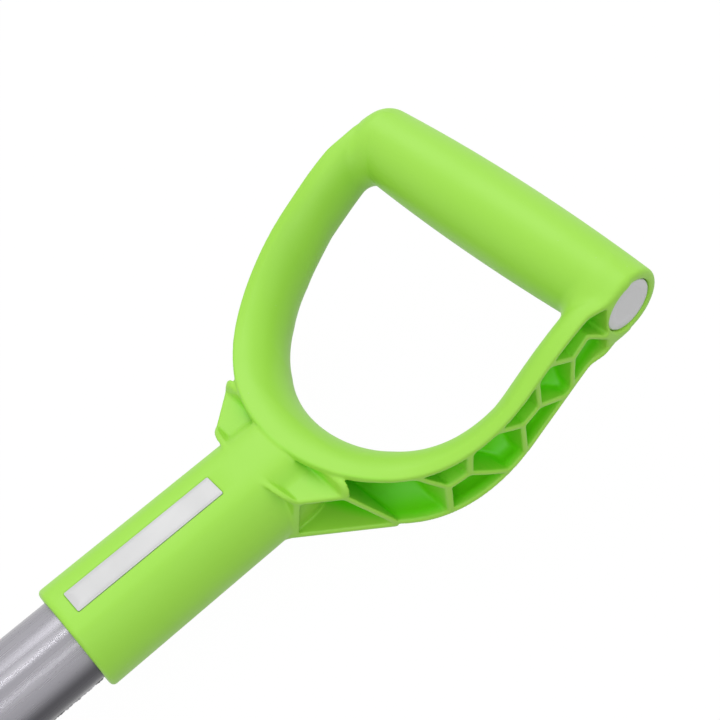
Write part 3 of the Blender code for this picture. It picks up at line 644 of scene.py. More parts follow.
class FieldMesher:
    """Turns a field on a lattice into a closed mesh with the field's own normals."""

    def __init__(self, lattice: Lattice, right: Grid, left: Grid, depth: Grid | None = None) -> None:
        """Take the field on each side of X = 0.

        Args:
            lattice: the grid of the field.
            right: the field's values with X above 0.
            left: the values with X below 0, in the same order, from the middle outwards.
            depth: how deep in a hollow each point lies, alike on both sides, which the finish reads to paint
                shade in the hollows.
        """
        self.lattice = lattice
        self.values = np.concatenate([left[::-1], right]).astype(np.float32)
        self.depth = None if depth is None else np.concatenate([depth[::-1], depth]).astype(np.float32)

    def net(self) -> tuple[Grid, Grid]:
        """Corners of the surface in grid steps, and its four-sided faces, by surface nets.

        Returns:
            The corners, and four corner numbers for each face.
        """
        inside = self.values < 0.0
        count = np.zeros(tuple(size - 1 for size in inside.shape), np.int8)
        for corner in np.ndindex(2, 2, 2):
            count += inside[tuple(slice(c, c + size) for c, size in zip(corner, count.shape))]
        active = (count > 0) & (count < 8)
        number = np.full(active.shape, -1, np.int32)
        number[active] = np.arange(int(active.sum()), dtype=np.int32)
        cells = np.argwhere(active)
        total, hits = np.zeros(cells.shape), np.zeros(len(cells))
        for axis, way in enumerate(np.eye(3, dtype=int)):
            for corner in np.ndindex(2, 2, 2):
                start = np.array(corner[::-1])
                if start[axis]:
                    continue
                near = self.values[tuple((cells + start).T)]
                far = self.values[tuple((cells + start + way).T)]
                crossing = (near < 0.0) != (far < 0.0)
                share = np.where(crossing, near / np.where(crossing, near - far, 1.0), 0.0)
                total += (start + share[:, None] * way) * crossing[:, None]
                hits += crossing
        return cells + total / hits[:, None], self.faces(inside, number)

    @staticmethod
    def faces(inside: Grid, number: Grid) -> Grid:
        """The faces round each grid edge that the surface crosses, turned outwards.

        Args:
            inside: whether each grid point lies in the body.
            number: the number of each cell's corner of the surface.

        Returns:
            Four corner numbers for each face.
        """
        rings = []
        for axis in range(3):
            second, third = (axis + 1) % 3, (axis + 2) % 3
            low = [slice(1, -1)] * 3
            low[axis] = slice(0, -1)
            high = list(low)
            high[axis] = slice(1, None)
            before, after = inside[tuple(low)], inside[tuple(high)]
            for starts_inside in (True, False):
                base = np.argwhere((before != after) & (before == starts_inside)) + 1
                base[:, axis] -= 1
                corners = []
                for back_second, back_third in ((1, 1), (0, 1), (0, 0), (1, 0)):
                    cell = base.copy()
                    cell[:, second] -= back_second
                    cell[:, third] -= back_third
                    corners.append(number[tuple(cell.T)])
                ring = np.stack(corners, 1)
                rings.append(ring if starts_inside else ring[:, ::-1])
        return np.concatenate(rings)

    @staticmethod
    def read(grid: Grid, points: Grid) -> Grid:
        """A grid's values at points in grid steps, between its samples.

        Args:
            grid: the grid to read.
            points: one row of three steps for each point.

        Returns:
            One value for each point.
        """
        low = np.clip(np.floor(points).astype(int), 0, np.array(grid.shape) - 2)
        share = points - low
        result = np.zeros(len(points))
        for corner in np.ndindex(2, 2, 2):
            weight = np.prod(np.where(np.array(corner) == 1, share, 1.0 - share), axis=1)
            result += weight * grid[tuple((low + corner).T)]
        return result

    def show(self, name: str, finish: Finishes, triangles: int, place: Vector) -> Item:
        """Build the piece, thinned to a number of triangles and set on the true surface.

        Args:
            name: the piece's name.
            finish: what it is made of.
            triangles: the most that it may have.
            place: where the field's origin lies in the frame, in metres.

        Returns:
            The piece, with no modifier left on it.
        """
        points, faces = self.net()
        raw = bpy.data.meshes.new(name + "_net")
        raw.from_pydata(points.tolist(), [], faces.tolist())
        carrier = link(name + "_net", raw)
        thinning = carrier.modifiers.new("thinning", "DECIMATE")
        thinning.ratio = min(1.0, triangles / (2.0 * len(faces)))
        mesh = settled(carrier)
        self.settle(mesh, place)
        mesh.name = name
        log.info("%s: %d net faces, %d faces kept", name, len(faces), len(mesh.polygons))
        return show(name, mesh, finish)

    def settle(self, mesh: Mesh, place: Vector) -> None:
        """Move the corners on to the field's surface and take its normals.

        Args:
            mesh: the mesh, its corners in grid steps.
            place: where the field's origin lies in the frame, in metres.
        """
        slopes = np.gradient(self.values)
        points = np.empty(len(mesh.vertices) * 3)
        mesh.vertices.foreach_get("co", points)
        points = points.reshape(-1, 3)
        for _ in range(2):
            slope = np.stack([self.read(part, points) for part in slopes], 1)
            off = self.read(self.values, points) / np.maximum((slope * slope).sum(1), 1e-3)
            points -= np.clip(off, -0.5, 0.5)[:, None] * slope
        normals = np.stack([self.read(part, points) for part in slopes], 1)
        normals /= np.maximum(np.linalg.norm(normals, axis=1), 1e-6)[:, None]
        world = (self.lattice.origin() + points * self.lattice.step) * MM + np.array(place)
        mesh.vertices.foreach_set("co", world.astype(np.float32).ravel())
        mesh.update()
        mesh.shade_smooth()
        mesh.normals_split_custom_set_from_vertices(normals.tolist())
        if self.depth is not None:
            layer = mesh.attributes.new(PAINTED_SHADE_LAYER, "FLOAT", "POINT")
            layer.data.foreach_set("value", self.read(self.depth, points).astype(np.float32))


# The grip

@dataclass(frozen=True)
class GripSizes:
    """Sizes in millimetres from the socket's mouth on the shaft's axis."""

    socket_radius: float = 20.3
    socket_bore: float = 16.3
    socket_depth: float = 75.0
    socket_length: float = 86.0
    socket_fillet: float = 1.2
    mouth_round: float = 1.8
    nose_length: float = 19.0
    nose_back: float = 9.0
    nose_narrowing: float = 0.42
    nose_round: float = 2.0
    pad_height: float = 18.8
    pad_round: float = 1.8
    pad_dip: float = 1.6
    pad_dip_start: float = 92.5
    pad_dip_length: float = 4.0
    rim_radius: float = 64.0
    rim_centre: float = 156.0
    rim_width: float = 3.5
    rim_gap: float = 0.3
    opening_half_width: float = 50.5
    opening_reach: float = 45.0
    band_half: float = 14.8
    band_end_half: float = 12.6
    band_end_start: float = 2.2
    skin: float = 3.0
    flange: float = 2.4
    edge: float = 0.7
    bar_y: float = 201.3
    bar_z: float = 43.2
    bar_radius: float = 15.8
    bar_end_radius: float = 13.5
    bar_half: float = 66.2
    bar_end_round: float = 1.6
    bar_bore: float = 8.5
    plug_radius: float = 10.1
    plug_seat: float = 3.7
    closed_end: float = 64.2
    closed_end_round: float = 8.5
    closed_wall: float = 4.0
    fillet_inside: float = 6.0
    fillet_at_rim: Pair = (2.0, 0.6)
    fillet_change: Pair = (54.0, 8.0)
    neck_mid: float = 4.4
    level_share: float = 0.68
    rise_bend: float = 1.675
    rib: float = 2.2
    hollow_corner: float = 1.0
    hollow_round: float = 1.0
    cells_end: float = 190.6
    end_rib_angle: float = -32.0
    end_flare: float = 2.2
    end_flare_change: Pair = (183.0, 8.0)
    node_places: tuple[Pair, ...] = ((83.5, 12.0), (96.3, 12.0), (123.9, 9.5), (131.2, 14.0),
                                     (152.3, 24.0), (160.3, 26.8), (176.9, 36.2), (183.9, 41.0))
    rib_turns: Pair = (120.0, 60.0)
    neck_angles: tuple[Pair, ...] = ((124.0, -100.0), (72.0, -60.0), (131.0, -92.0))
    lean_places: tuple[float, ...] = (104.0, 120.0, 135.0, 150.0, 168.0)
    lean_slopes: tuple[float, ...] = (0.0, 0.23, 0.43, 0.50, 0.08)
    bulge_places: tuple[float, ...] = (106.0, 120.0, 135.0, 150.0, 168.0)
    bulge_depths: tuple[float, ...] = (0.0, 1.8, 1.4, 0.1, -1.5)
    edge_places: tuple[float, ...] = (181.0, 188.0, 194.0, 201.0)
    edges_right: tuple[float, ...] = (0.8, 0.9, 1.3, 1.6)
    edges_left: tuple[float, ...] = (0.8, 3.0, 4.2, 7.0)
    gusset_start: float = 77.0
    gusset_end: float = 108.0
    gusset_half: float = 17.8
    gusset_flare: float = 0.83
    gusset_shoulder: float = 5.0
    gusset_shoulder_gain: float = 5.0
    gusset_shoulder_end: float = 94.0
    gusset_shoulder_length: float = 15.0
    gusset_top: float = 17.6
    gusset_skirt: float = 0.2
    gusset_back_round: float = 1.0
    gusset_round: float = 0.8
    label_length: float = 61.2
    label_width: float = 9.4
    label_start: float = 6.1
    label_recess: float = 1.0
    screw_place: float = 35.0
    screw_head: float = 4.1
    screw_shank: float = 2.2
    screw_slope: float = 0.8
    screw_land: float = 0.8
    screw_depth: float = 2.8

    def mid_height(self, y: Grid) -> Grid:
        """Height of the loop's mid line."""
        start = self.rim_centre - self.rim_radius + self.level_share * (self.rim_radius - self.opening_reach)
        share = part_way(y, start, self.bar_y - start)
        steeper = 1.0 + self.rise_bend - self.rise_bend * share
        return self.neck_mid + (self.bar_z - self.neck_mid) * share ** 2 * steeper

    def mid_slope(self, y: float) -> float:
        """Slope of the mid line as an angle."""
        return math.atan2(float(self.mid_height(y + 2.0) - self.mid_height(y - 2.0)), 4.0)

    def half_height(self, y: Grid) -> Grid:
        """Half height of the band."""
        start = self.bar_y - self.band_end_start * self.bar_radius
        share = part_way(y, start, self.bar_y - start)
        return self.band_half + (self.band_end_half - self.band_half) * share ** 2 * (3.0 - 2.0 * share)

    def lean(self, y: Grid) -> Grid:
        """How far the band's inside leans to the back, for each millimetre from the rim's margin."""
        return np.interp(y, self.lean_places, self.lean_slopes).astype(np.float32)

    def bulge(self, y: Grid) -> Grid:
        """How much further in than the plain outline the opening's edge lies."""
        return np.interp(y, self.bulge_places, self.bulge_depths).astype(np.float32)


class Honeycomb:
    """The pattern of ribs in the plane across the crossbar, the same through the whole width."""

    def __init__(self, sizes: GripSizes) -> None:
        """Lay out the meeting points of the ribs, each with the angles of its front and back rib.

        Args:
            sizes: the grip's sizes.
        """
        self.sizes = sizes
        self.nodes = []
        for k, (y, z) in enumerate(sizes.node_places):
            turn = math.radians(sizes.rib_turns[k % 2])
            front, back = sizes.mid_slope(y) + turn, sizes.mid_slope(y) - turn
            if k < len(sizes.neck_angles):
                front, back = (math.radians(angle) for angle in sizes.neck_angles[k])
            self.nodes.append((Vector((y, z)), front, back))

    @staticmethod
    def line(point: Vector, angle: float, shift: float = 0.0) -> tuple[Vector, Vector]:
        """A line through a point at an angle, moved to its left by a shift."""
        way = Vector((math.cos(angle), math.sin(angle)))
        return point + Vector((-way.y, way.x)) * shift, way

    @staticmethod
    def meet(first: tuple[Vector, Vector], second: tuple[Vector, Vector]) -> Pair:
        """Where two lines cross."""
        (p, d), (q, e) = first, second
        gap = q - p
        place = p + d * ((gap.x * e.y - gap.y * e.x) / (d.x * e.y - d.y * e.x))
        return place.x, place.y

    def face(self, point: Vector, side: float) -> tuple[Vector, Vector]:
        """The line of the band's front (1) or back (-1) face beside a point."""
        height = float(self.sizes.mid_height(point.x)) + side * self.sizes.band_half
        return self.line(Vector((point.x, height)), self.sizes.mid_slope(point.x))

    def outlines(self) -> list[Profile]:
        """Outlines of the hollows, drawn in by the corner radius.

        Returns:
            Each outline's corners, as Y and Z in millimetres.
        """
        s, line, meet, face = self.sizes, self.line, self.meet, self.face
        half = s.rib / 2 + s.hollow_corner
        upright = math.radians(90.0)
        first, front, back = self.nodes[0]
        upper, lower = line(first, front, half), line(first, back, -half)
        start = line(Vector((s.gusset_start - s.rib, 0.0)), upright)
        found = [[meet(upper, lower), meet(upper, face(first, 1.0)), meet(start, face(first, 1.0)),
                  meet(start, face(first, -1.0)), meet(lower, face(first, -1.0))]]
        end = line(Vector((s.cells_end - s.hollow_corner, 0.0)), upright)
        pairs = list(zip(self.nodes, self.nodes[1:]))
        for (a, a_front, a_back), (b, b_front, b_back) in pairs[::2]:
            slope = math.atan2(b.y - a.y, b.x - a.x)
            for side, a_angle, b_angle in ((1.0, a_front, b_front), (-1.0, a_back, b_back)):
                floor, near = line(a, slope, half * side), line(a, a_angle, -half * side)
                far = line(b, b_angle, half * side)
                corners = [meet(far, face(b, side))]
                if b is self.nodes[-1][0]:
                    far = line(b, math.radians(s.end_rib_angle), half * side)
                    corners = [meet(end, face(b, side)), meet(end, far)]
                found.append([meet(floor, near), meet(near, face(a, side)), *corners, meet(floor, far)])
        for (a, a_front, a_back), (b, b_front, b_back) in pairs[1::2]:
            a_up, a_down = line(a, a_front, -half), line(a, a_back, half)
            b_up, b_down = line(b, b_front, half), line(b, b_back, -half)
            found.append([meet(a_up, a_down), meet(a_up, face(a, 1.0)), meet(b_up, face(b, 1.0)),
                          meet(b_up, b_down), meet(b_down, face(b, -1.0)), meet(a_down, face(a, -1.0))])
        return found

    def field(self, y: Grid, z: Grid) -> Grid:
        """Distance to the nearest hollow, in the plane."""
        nearest = np.minimum.reduce([polygon_field(outline, y, z) for outline in self.outlines()])
        return nearest - self.sizes.hollow_corner


@dataclass
class Grip:
    """The one-piece moulded grip: socket, honeycombed loop and crossbar, with its fillets."""

    sizes: GripSizes = field(default_factory=GripSizes)
    step: float = 0.6
    margin: float = 2.0
    triangles: int = 190_000
    bore_edge: float = 0.5
    seat_edge: float = 0.4
    label_edge: float = 0.25
    hole_edge: float = 0.2
    shade_start: float = 0.1
    shade_length: float = 2.0
    shade_reach: float = 1.4
    shade_ease: float = 0.8

    def build(self, place: Vector) -> Item:
        """Model the grip and dress it.

        Args:
            place: the socket's mouth on the shaft's axis, in the frame.

        Returns:
            The finished piece.
        """
        s, margin = self.sizes, self.margin
        lattice = Lattice(self.step, s.bar_half + margin, -margin, s.bar_y + s.bar_radius + margin,
                          -s.socket_radius - margin, s.bar_z + s.bar_radius + margin)
        self.x, self.y, self.z = lattice.axes()
        hollows, socket = self.hollows(), self.socket()
        sides = []
        for side in (1.0, -1.0):
            body = join_round(self.loop(side), self.crossbar(side), self.bar_fillet(side))
            body = join_round(cut_round(body, hollows, s.edge), socket, s.socket_fillet)
            sides.append(self.cut_seats(body, side))
        # Painted shade: how far into each hollow a point lies, which the finish darkens.
        depth = (part_way(self.from_rim()[0], self.shade_start, self.shade_length)
                 * np.clip((self.shade_reach - hollows) / self.shade_ease, 0.0, 1.0))
        mesher = FieldMesher(lattice, *sides, depth)
        return mesher.show("moulded_grip", Finishes.GRIP, self.triangles, place)

    def from_rim(self, flare: float = 0.0) -> tuple[Grid, Grid]:
        """Distance inwards from the loop's rim in plan, and the band's depth there.

        Args:
            flare: how far the rim runs out to meet the end of the crossbar.

        Returns:
            The distance and the depth.
        """
        s = self.sizes
        below = np.minimum(self.y - s.rim_centre, 0.0)
        from_centre = np.hypot(self.x, below)
        round_depth = s.opening_half_width * s.opening_reach / np.maximum(
            np.hypot(s.opening_reach * self.x / np.maximum(from_centre, 1e-3),
                     s.opening_half_width * below / np.maximum(from_centre, 1e-3)), 1e-3)
        share = part_way(self.y, *s.end_flare_change)
        out = flare * share * share * (3.0 - 2.0 * share)
        return s.rim_radius + out - from_centre, s.rim_radius + out - round_depth + s.bulge(self.y)

    def band(self, skin: float = 0.0, flange: float = 0.0, flare: float = 0.0) -> Grid:
        """The loop's rounded section.

        Args:
            skin: how far it is drawn in from the opening.
            flange: how far it is drawn in from the front and the back.
            flare: how far the rim runs out to meet the end of the crossbar.

        Returns:
            Its field.
        """
        s = self.sizes
        inwards, depth = self.from_rim(flare)
        reach = np.maximum(depth - s.rim_width - skin, 1.0)
        beyond = np.maximum(inwards - s.rim_width, 0.0)
        height = self.z - s.mid_height(self.y) + s.lean(self.y) * np.minimum(beyond, reach)
        section = ellipse_field(beyond, height, reach, s.half_height(self.y) - flange)
        return even_out(np.maximum(section, (self.y - s.bar_y)), self.step)

    def loop(self, side: float) -> Grid:
        """The loop and its neck gussets on one side, before the hollows are cut.

        Args:
            side: 1 for the right and -1 for the left.

        Returns:
            Their field.
        """
        s = self.sizes
        flare, radii = (s.end_flare, s.edges_right) if side > 0.0 else (0.0, s.edges_left)
        edge = np.interp(self.y, s.edge_places, radii).astype(np.float32)
        loop = share_round(self.band(flare=flare), -self.from_rim(flare)[0] + 0.0 * self.z, edge)
        return join_round(loop, self.gussets(), s.gusset_round)

    def gussets(self) -> Grid:
        """The flared neck that carries the first ribs.

        Returns:
            Its field.
        """
        s = self.sizes
        shoulder = s.node_places[0][1]
        half = s.gusset_half + s.gusset_flare * (self.y - s.gusset_start)
        eased = np.clip((s.gusset_shoulder_end - self.y) / s.gusset_shoulder_length, 0.0, 1.0)
        reach = s.gusset_shoulder + s.gusset_shoulder_gain * eased
        section = ellipse_field(np.maximum(self.x - half + reach, 0.0), np.maximum(self.z - shoulder, 0.0),
                                reach, s.gusset_top - shoulder)
        back = s.neck_mid - s.band_half - s.gusset_skirt - self.z
        solid = share_round(even_out(section, self.step), back, s.gusset_back_round)
        ends = np.maximum(np.maximum(s.gusset_start - self.y, self.y - s.gusset_end),
                          self.from_rim()[0] - s.rim_width)
        return share_round(solid, ends + 0.0 * section, s.gusset_round)

    def hollows(self) -> Grid:
        """The cells that the mould's side slides leave open.

        Returns:
            Their field.
        """
        s = self.sizes
        outside_rim = s.rim_radius + s.rim_gap - np.hypot(self.x, self.y - s.rim_centre)
        floor = s.neck_mid - s.band_half + s.flange - self.z
        beside_neck = np.maximum(np.maximum(outside_rim, floor), self.y - s.gusset_end)
        cells = Honeycomb(s).field(self.y[0], self.z[0])[None].astype(np.float32)
        return share_round(np.minimum(self.band(s.skin, s.flange), beside_neck), cells, s.hollow_round)

    def socket(self) -> Grid:
        """The round socket, its flat pad, its nose and its rounded mouth.

        Returns:
            Their field.
        """
        s = self.sizes
        share = part_way(self.y, s.socket_length, s.nose_length)
        fall = share * share
        radius = s.socket_radius * (1.0 - s.nose_narrowing * fall * share)
        back = s.socket_radius + (s.nose_back - s.socket_radius) * fall
        height = np.where(self.z < 0.0, self.z * radius / back, self.z)
        barrel = even_out(np.hypot(self.x, height) - radius, self.step)
        dip = s.pad_dip * part_way(self.y, s.pad_dip_start, s.pad_dip_length)
        barrel = share_round(barrel, self.z - s.pad_height + dip, s.pad_round)
        barrel = share_round(barrel, self.y - s.socket_length - s.nose_length, s.nose_round)
        return share_round(barrel, -self.y, s.mouth_round)

    def crossbar(self, side: float) -> Grid:
        """The barrel-shaped crossbar: flat at the right end, closed and well rounded at the left.

        Args:
            side: 1 for the right and -1 for the left.

        Returns:
            Its field.
        """
        s = self.sizes
        share = self.x / s.bar_half
        radius = s.bar_radius + (s.bar_end_radius - s.bar_radius) * share * share
        end, edge = (s.bar_half, s.bar_end_round) if side > 0.0 else (s.closed_end, s.closed_end_round)
        return share_round(np.hypot(self.y - s.bar_y, self.z - s.bar_z) - radius, self.x - end, edge)

    def bar_fillet(self, side: float) -> Grid:
        """Radius of the fillet between arm and crossbar: large inside the loop, small at its rim.

        Args:
            side: 1 for the right and -1 for the left.

        Returns:
            The radius at each X.
        """
        s = self.sizes
        share = part_way(self.x, *s.fillet_change)
        right, left = s.fillet_at_rim
        at_rim = right if side > 0.0 else left
        return s.fillet_inside + (at_rim - s.fillet_inside) * share * share * (3.0 - 2.0 * share)

    def cut_seats(self, body: Grid, side: float) -> Grid:
        """Cut the bores, the plug's seat, the label's recess and the screw's hole.

        Args:
            body: the grip's field on one side.
            side: 1 for the right and -1 for the left.

        Returns:
            The field with its seats.
        """
        s = self.sizes
        bore = np.maximum(np.hypot(self.x, self.z) - s.socket_bore, self.y - s.socket_depth)
        body = cut_round(body, bore, self.bore_edge)
        round_bar = np.hypot(self.y - s.bar_y, self.z - s.bar_z)
        seat = np.maximum(round_bar - s.plug_radius, s.bar_half - s.plug_seat - self.x)
        hollow = np.minimum(seat, round_bar - s.bar_bore)
        if side < 0.0:
            hollow = np.maximum(round_bar - s.bar_bore, self.x - s.closed_end + s.closed_wall)
        body = cut_round(body, hollow, self.seat_edge)
        recess = np.maximum(self.x - s.label_width / 2, s.pad_height - s.label_recess - self.z)
        middle = s.label_start + s.label_length / 2
        recess = np.maximum(recess, np.abs(self.y - middle) - s.label_length / 2)
        body = cut_round(body, recess, self.label_edge)
        from_screw = np.hypot(self.x, self.y - s.screw_place)
        cone = s.screw_slope * np.minimum(-s.socket_radius + s.screw_land - self.z, 0.0)
        sink = np.maximum(from_screw - s.screw_head - cone, self.z + s.socket_radius - s.screw_depth)
        hole = np.minimum(np.maximum(sink, self.z), np.maximum(from_screw - s.screw_shank, self.z))
        return cut_round(body, hole, self.hole_edge)


# The blade

@dataclass
class Blade:
    """The pressed blade with its socket, hollow ridge and weld beads, in millimetres from the shoulders."""

    length: float = 290.0
    half_width: float = 95.0
    tip_half_width: float = 86.0
    sheet: float = 2.0
    sag: float = 24.0
    dish: float = 6.0
    flat_share: float = 0.36
    toe_rise: float = 7.0
    toe_start: float = 0.55
    axis: float = 20.3
    socket_length: float = 125.0
    socket_radius: float = 18.3
    socket_sink: float = 0.4
    socket_round: float = 0.6
    wall: float = 2.0
    ridge_length: float = 125.0
    ridge_end: float = 4.0
    ridge_straight_share: float = 0.45
    ridge_sink: float = 1.6
    ridge_sink_length: float = 10.0
    ridge_fillet: float = 4.0
    ridge_round: float = 2.0
    hollow_overrun: float = 4.0
    back_round: float = 0.3
    hollow_round: float = 0.4
    slot: Triple = (7.5, -87.5, -12.0)
    slot_round: float = 0.5
    rivet_places: Pair = (35.0, 90.0)
    rivet_hole: float = 2.6
    rivet_round: float = 0.2
    bevel: float = 12.0
    bevel_thinning: float = 1.4
    corner_round: float = 6.0
    edge_round: float = 0.28
    rim_round_gain: float = 0.55
    bead_radius: float = 1.5
    bead_reach: Pair = (26.0, 91.0)
    bead_sink: float = 0.1
    bead_ripple: float = 0.22
    bead_pitch: float = 3.6
    bead_end_round: float = 1.2
    bead_fillet: float = 0.6
    beyond_side: float = 1.3
    beyond_rise: float = 1.1
    step: float = 0.7
    margin: float = 2.0
    triangles: int = 170_000

    def build(self, place: Vector) -> Item:
        """Model the blade and dress it.

        Args:
            place: the middle of the shoulder line on the shaft's axis, in the frame.

        Returns:
            The finished piece.
        """
        margin = self.margin
        lattice = Lattice(self.step, self.half_width + margin, -self.length - margin,
                          self.socket_length + margin, -self.axis - margin, self.socket_radius + margin)
        self.x, self.y, self.z = lattice.axes()
        body = join_round(self.pressed_sheet(), self.ridge(0.0, self.socket_length), self.ridge_fillet)
        behind = np.where(self.y < 0.0, self.back_height(), -self.axis + self.socket_sink) - self.z
        body = share_round(body, behind.astype(np.float32), self.back_round)
        hollow = self.ridge(self.wall, self.socket_length + self.hollow_overrun)
        body = cut_round(body, hollow, self.hollow_round)
        half, low, high = self.slot
        slot = np.maximum(np.maximum(self.x - half, low - self.y),
                          np.maximum(self.y - high, self.z + self.axis - 2.0 * self.wall))
        body = cut_round(body, slot, self.slot_round)
        for y in self.rivet_places:
            hole = np.hypot(self.y - y, self.z) - self.rivet_hole + 0.0 * self.x
            body = cut_round(body, hole, self.rivet_round)
        body = join_round(body, self.weld_bead(), self.bead_fillet)
        mesher = FieldMesher(lattice, body, body)
        return mesher.show("pressed_blade", Finishes.BLADE, self.triangles, place)

    def half_at(self, along: Grid) -> Grid:
        """Half the blade's width at a share of its length."""
        return self.half_width + (self.tip_half_width - self.half_width) * np.clip(along, 0.0, 1.0)

    def sheet_place(self) -> tuple[Grid, Grid]:
        """How far across (0 to 1) and along (0 to 1) the blade each point lies.

        Returns:
            The share across and the share along.
        """
        across = self.x / self.half_width + 0.0 * self.y
        for _ in range(4):
            along = -self.y / (self.length - self.sag * np.minimum(across, self.beyond_side) ** 2)
            across = self.x / self.half_at(along)
        return across, along

    def back_height(self) -> Grid:
        """Height of the sheet's back."""
        across, along = self.sheet_place()
        side = np.clip((across - self.flat_share) / (1.0 - self.flat_share), 0.0, self.beyond_rise)
        toe = np.clip((along - self.toe_start) / (1.0 - self.toe_start), 0.0, self.beyond_rise)
        return self.dish * side * side + self.toe_rise * toe * toe - self.axis

    def pressed_sheet(self) -> Grid:
        """The sheet, ground thinner towards its cutting edge, with eased edges.

        Returns:
            Its field.
        """
        across, along = self.sheet_place()
        from_edge = self.length - self.sag * np.minimum(across, self.beyond_side) ** 2 + self.y
        thickness = self.sheet - self.bevel_thinning * np.clip(1.0 - from_edge / self.bevel, 0.0, 1.0)
        height = self.z - self.back_height()
        slab = np.maximum(-height, height - thickness)
        beside = self.x - self.half_at(along)
        outline = np.maximum(np.maximum(beside, -from_edge), self.y)
        outline = np.maximum(outline, share_round(beside + 0.0 * self.y, -from_edge, self.corner_round))
        rounding = self.edge_round + self.rim_round_gain * np.clip(from_edge / self.bevel, 0.0, 1.0)
        return share_round(slab, outline + 0.0 * self.z, rounding)

    def ridge(self, shrink: float, end: float) -> Grid:
        """The socket and the ridge below it.

        Args:
            shrink: the wall by which their hollow is drawn in.
            end: where the socket ends along the shaft.

        Returns:
            Their field.
        """
        share = np.clip(-self.y / self.ridge_length, 0.0, 1.0)
        straight, curved = self.ridge_straight_share, 1.0 - self.ridge_straight_share
        taper = straight * share + curved * share * share * (3.0 - 2.0 * share)
        radius = self.socket_radius + (self.ridge_end - self.socket_radius) * taper
        sink = self.ridge_sink * np.clip(1.0 - self.y / self.ridge_sink_length, 0.0, 1.0)
        centre = radius - self.socket_radius - sink
        body = even_out(np.hypot(self.x, self.z - centre) - radius, self.step) + shrink
        body = share_round(body, self.y - end, self.socket_round)
        return share_round(body, -self.ridge_length + 2.0 * shrink - self.y, self.ridge_round)

    def weld_bead(self) -> Grid:
        """The rippled weld along the line where a tread meets the blade's front.

        Returns:
            Its field.
        """
        start, end = self.bead_reach
        ripple = self.bead_ripple * np.abs(np.sin(math.pi * self.x / self.bead_pitch))
        top = self.back_height() + self.sheet
        bead = np.hypot(self.y + self.bead_sink, self.z - top) - self.bead_radius - ripple
        return share_round(bead, np.maximum(start - self.x, self.x - end), self.bead_end_round)


# Turned, plated and repeated shapes

def skin_rings(name: str, rings: list[list[Triple]], frame_of: Matrix) -> Mesh:
    """A closed mesh over a row of rings with the same number of points.

    Args:
        name: the mesh's name.
        rings: the rings' points in millimetres.
        frame_of: where the rings' own frame lies in the part's frame, in metres.

    Returns:
        The mesh, with its place in it.
    """
    bm = bmesh.new()
    loops = [[bm.verts.new(frame_of @ (Vector(point) * MM)) for point in ring] for ring in rings]
    count = len(rings[0])
    for lower, upper in zip(loops, loops[1:]):
        for k in range(count):
            after = (k + 1) % count
            bm.faces.new((lower[k], lower[after], upper[after], upper[k]))
    bm.faces.new(loops[0])
    bm.faces.new(loops[-1])
    return free_mesh(name, bm)


def turn_profile(name: str, profile: Profile, frame_of: Matrix, steps: int) -> Mesh:
    """Turn a profile about its frame's Z axis into a closed mesh.

    Args:
        name: the mesh's name.
        profile: (radius, height) points in millimetres.
        frame_of: where the profile's frame lies in the part's frame, in metres.
        steps: number of steps round it.

    Returns:
        The mesh, with its place in it.
    """
    turns = [math.tau * k / steps for k in range(steps)]
    rings = [[(radius * math.cos(turn), radius * math.sin(turn), height) for turn in turns]
             for radius, height in profile]
    return skin_rings(name, rings, frame_of)


def rounded_outline(half_x: float, half_y: float, corners: Pair, steps: int = 6) -> Profile:
    """A rectangle with rounded corners, anticlockwise.

    Args:
        half_x: half its width.
        half_y: half its height.
        corners: radius of the two upper corners and of the two lower ones.
        steps: number of steps round each corner.

    Returns:
        Its points.
    """
    upper, lower = corners
    quarters = ((1, 1, upper), (-1, 1, upper), (-1, -1, lower), (1, -1, lower))
    points = []
    for quarter, (side_x, side_y, radius) in enumerate(quarters):
        for k in range(steps + 1):
            angle = math.radians(90.0 * quarter + 90.0 * k / steps)
            points.append((side_x * (half_x - radius) + radius * math.cos(angle),
                           side_y * (half_y - radius) + radius * math.sin(angle)))
    return points


def plate(name: str, half_x: float, half_y: float, corners: Pair, levels: Profile, frame_of: Matrix) -> Mesh:
    """A closed plate with rounded corners and a section given by levels.

    Args:
        name: the mesh's name.
        half_x: half its width.
        half_y: half its height.
        corners: radius of the upper corners and of the lower ones.
        levels: (inset, height) points from its underside to its top.
        frame_of: the plate's frame in the part's frame.

    Returns:
        The mesh.
    """
    smallest = 0.05
    rings = []
    for inset, height in levels:
        radii = tuple(max(radius - inset, smallest) for radius in corners)
        rings.append([(x, y, height) for x, y in rounded_outline(half_x - inset, half_y - inset, radii)])
    return skin_rings(name, rings, frame_of)


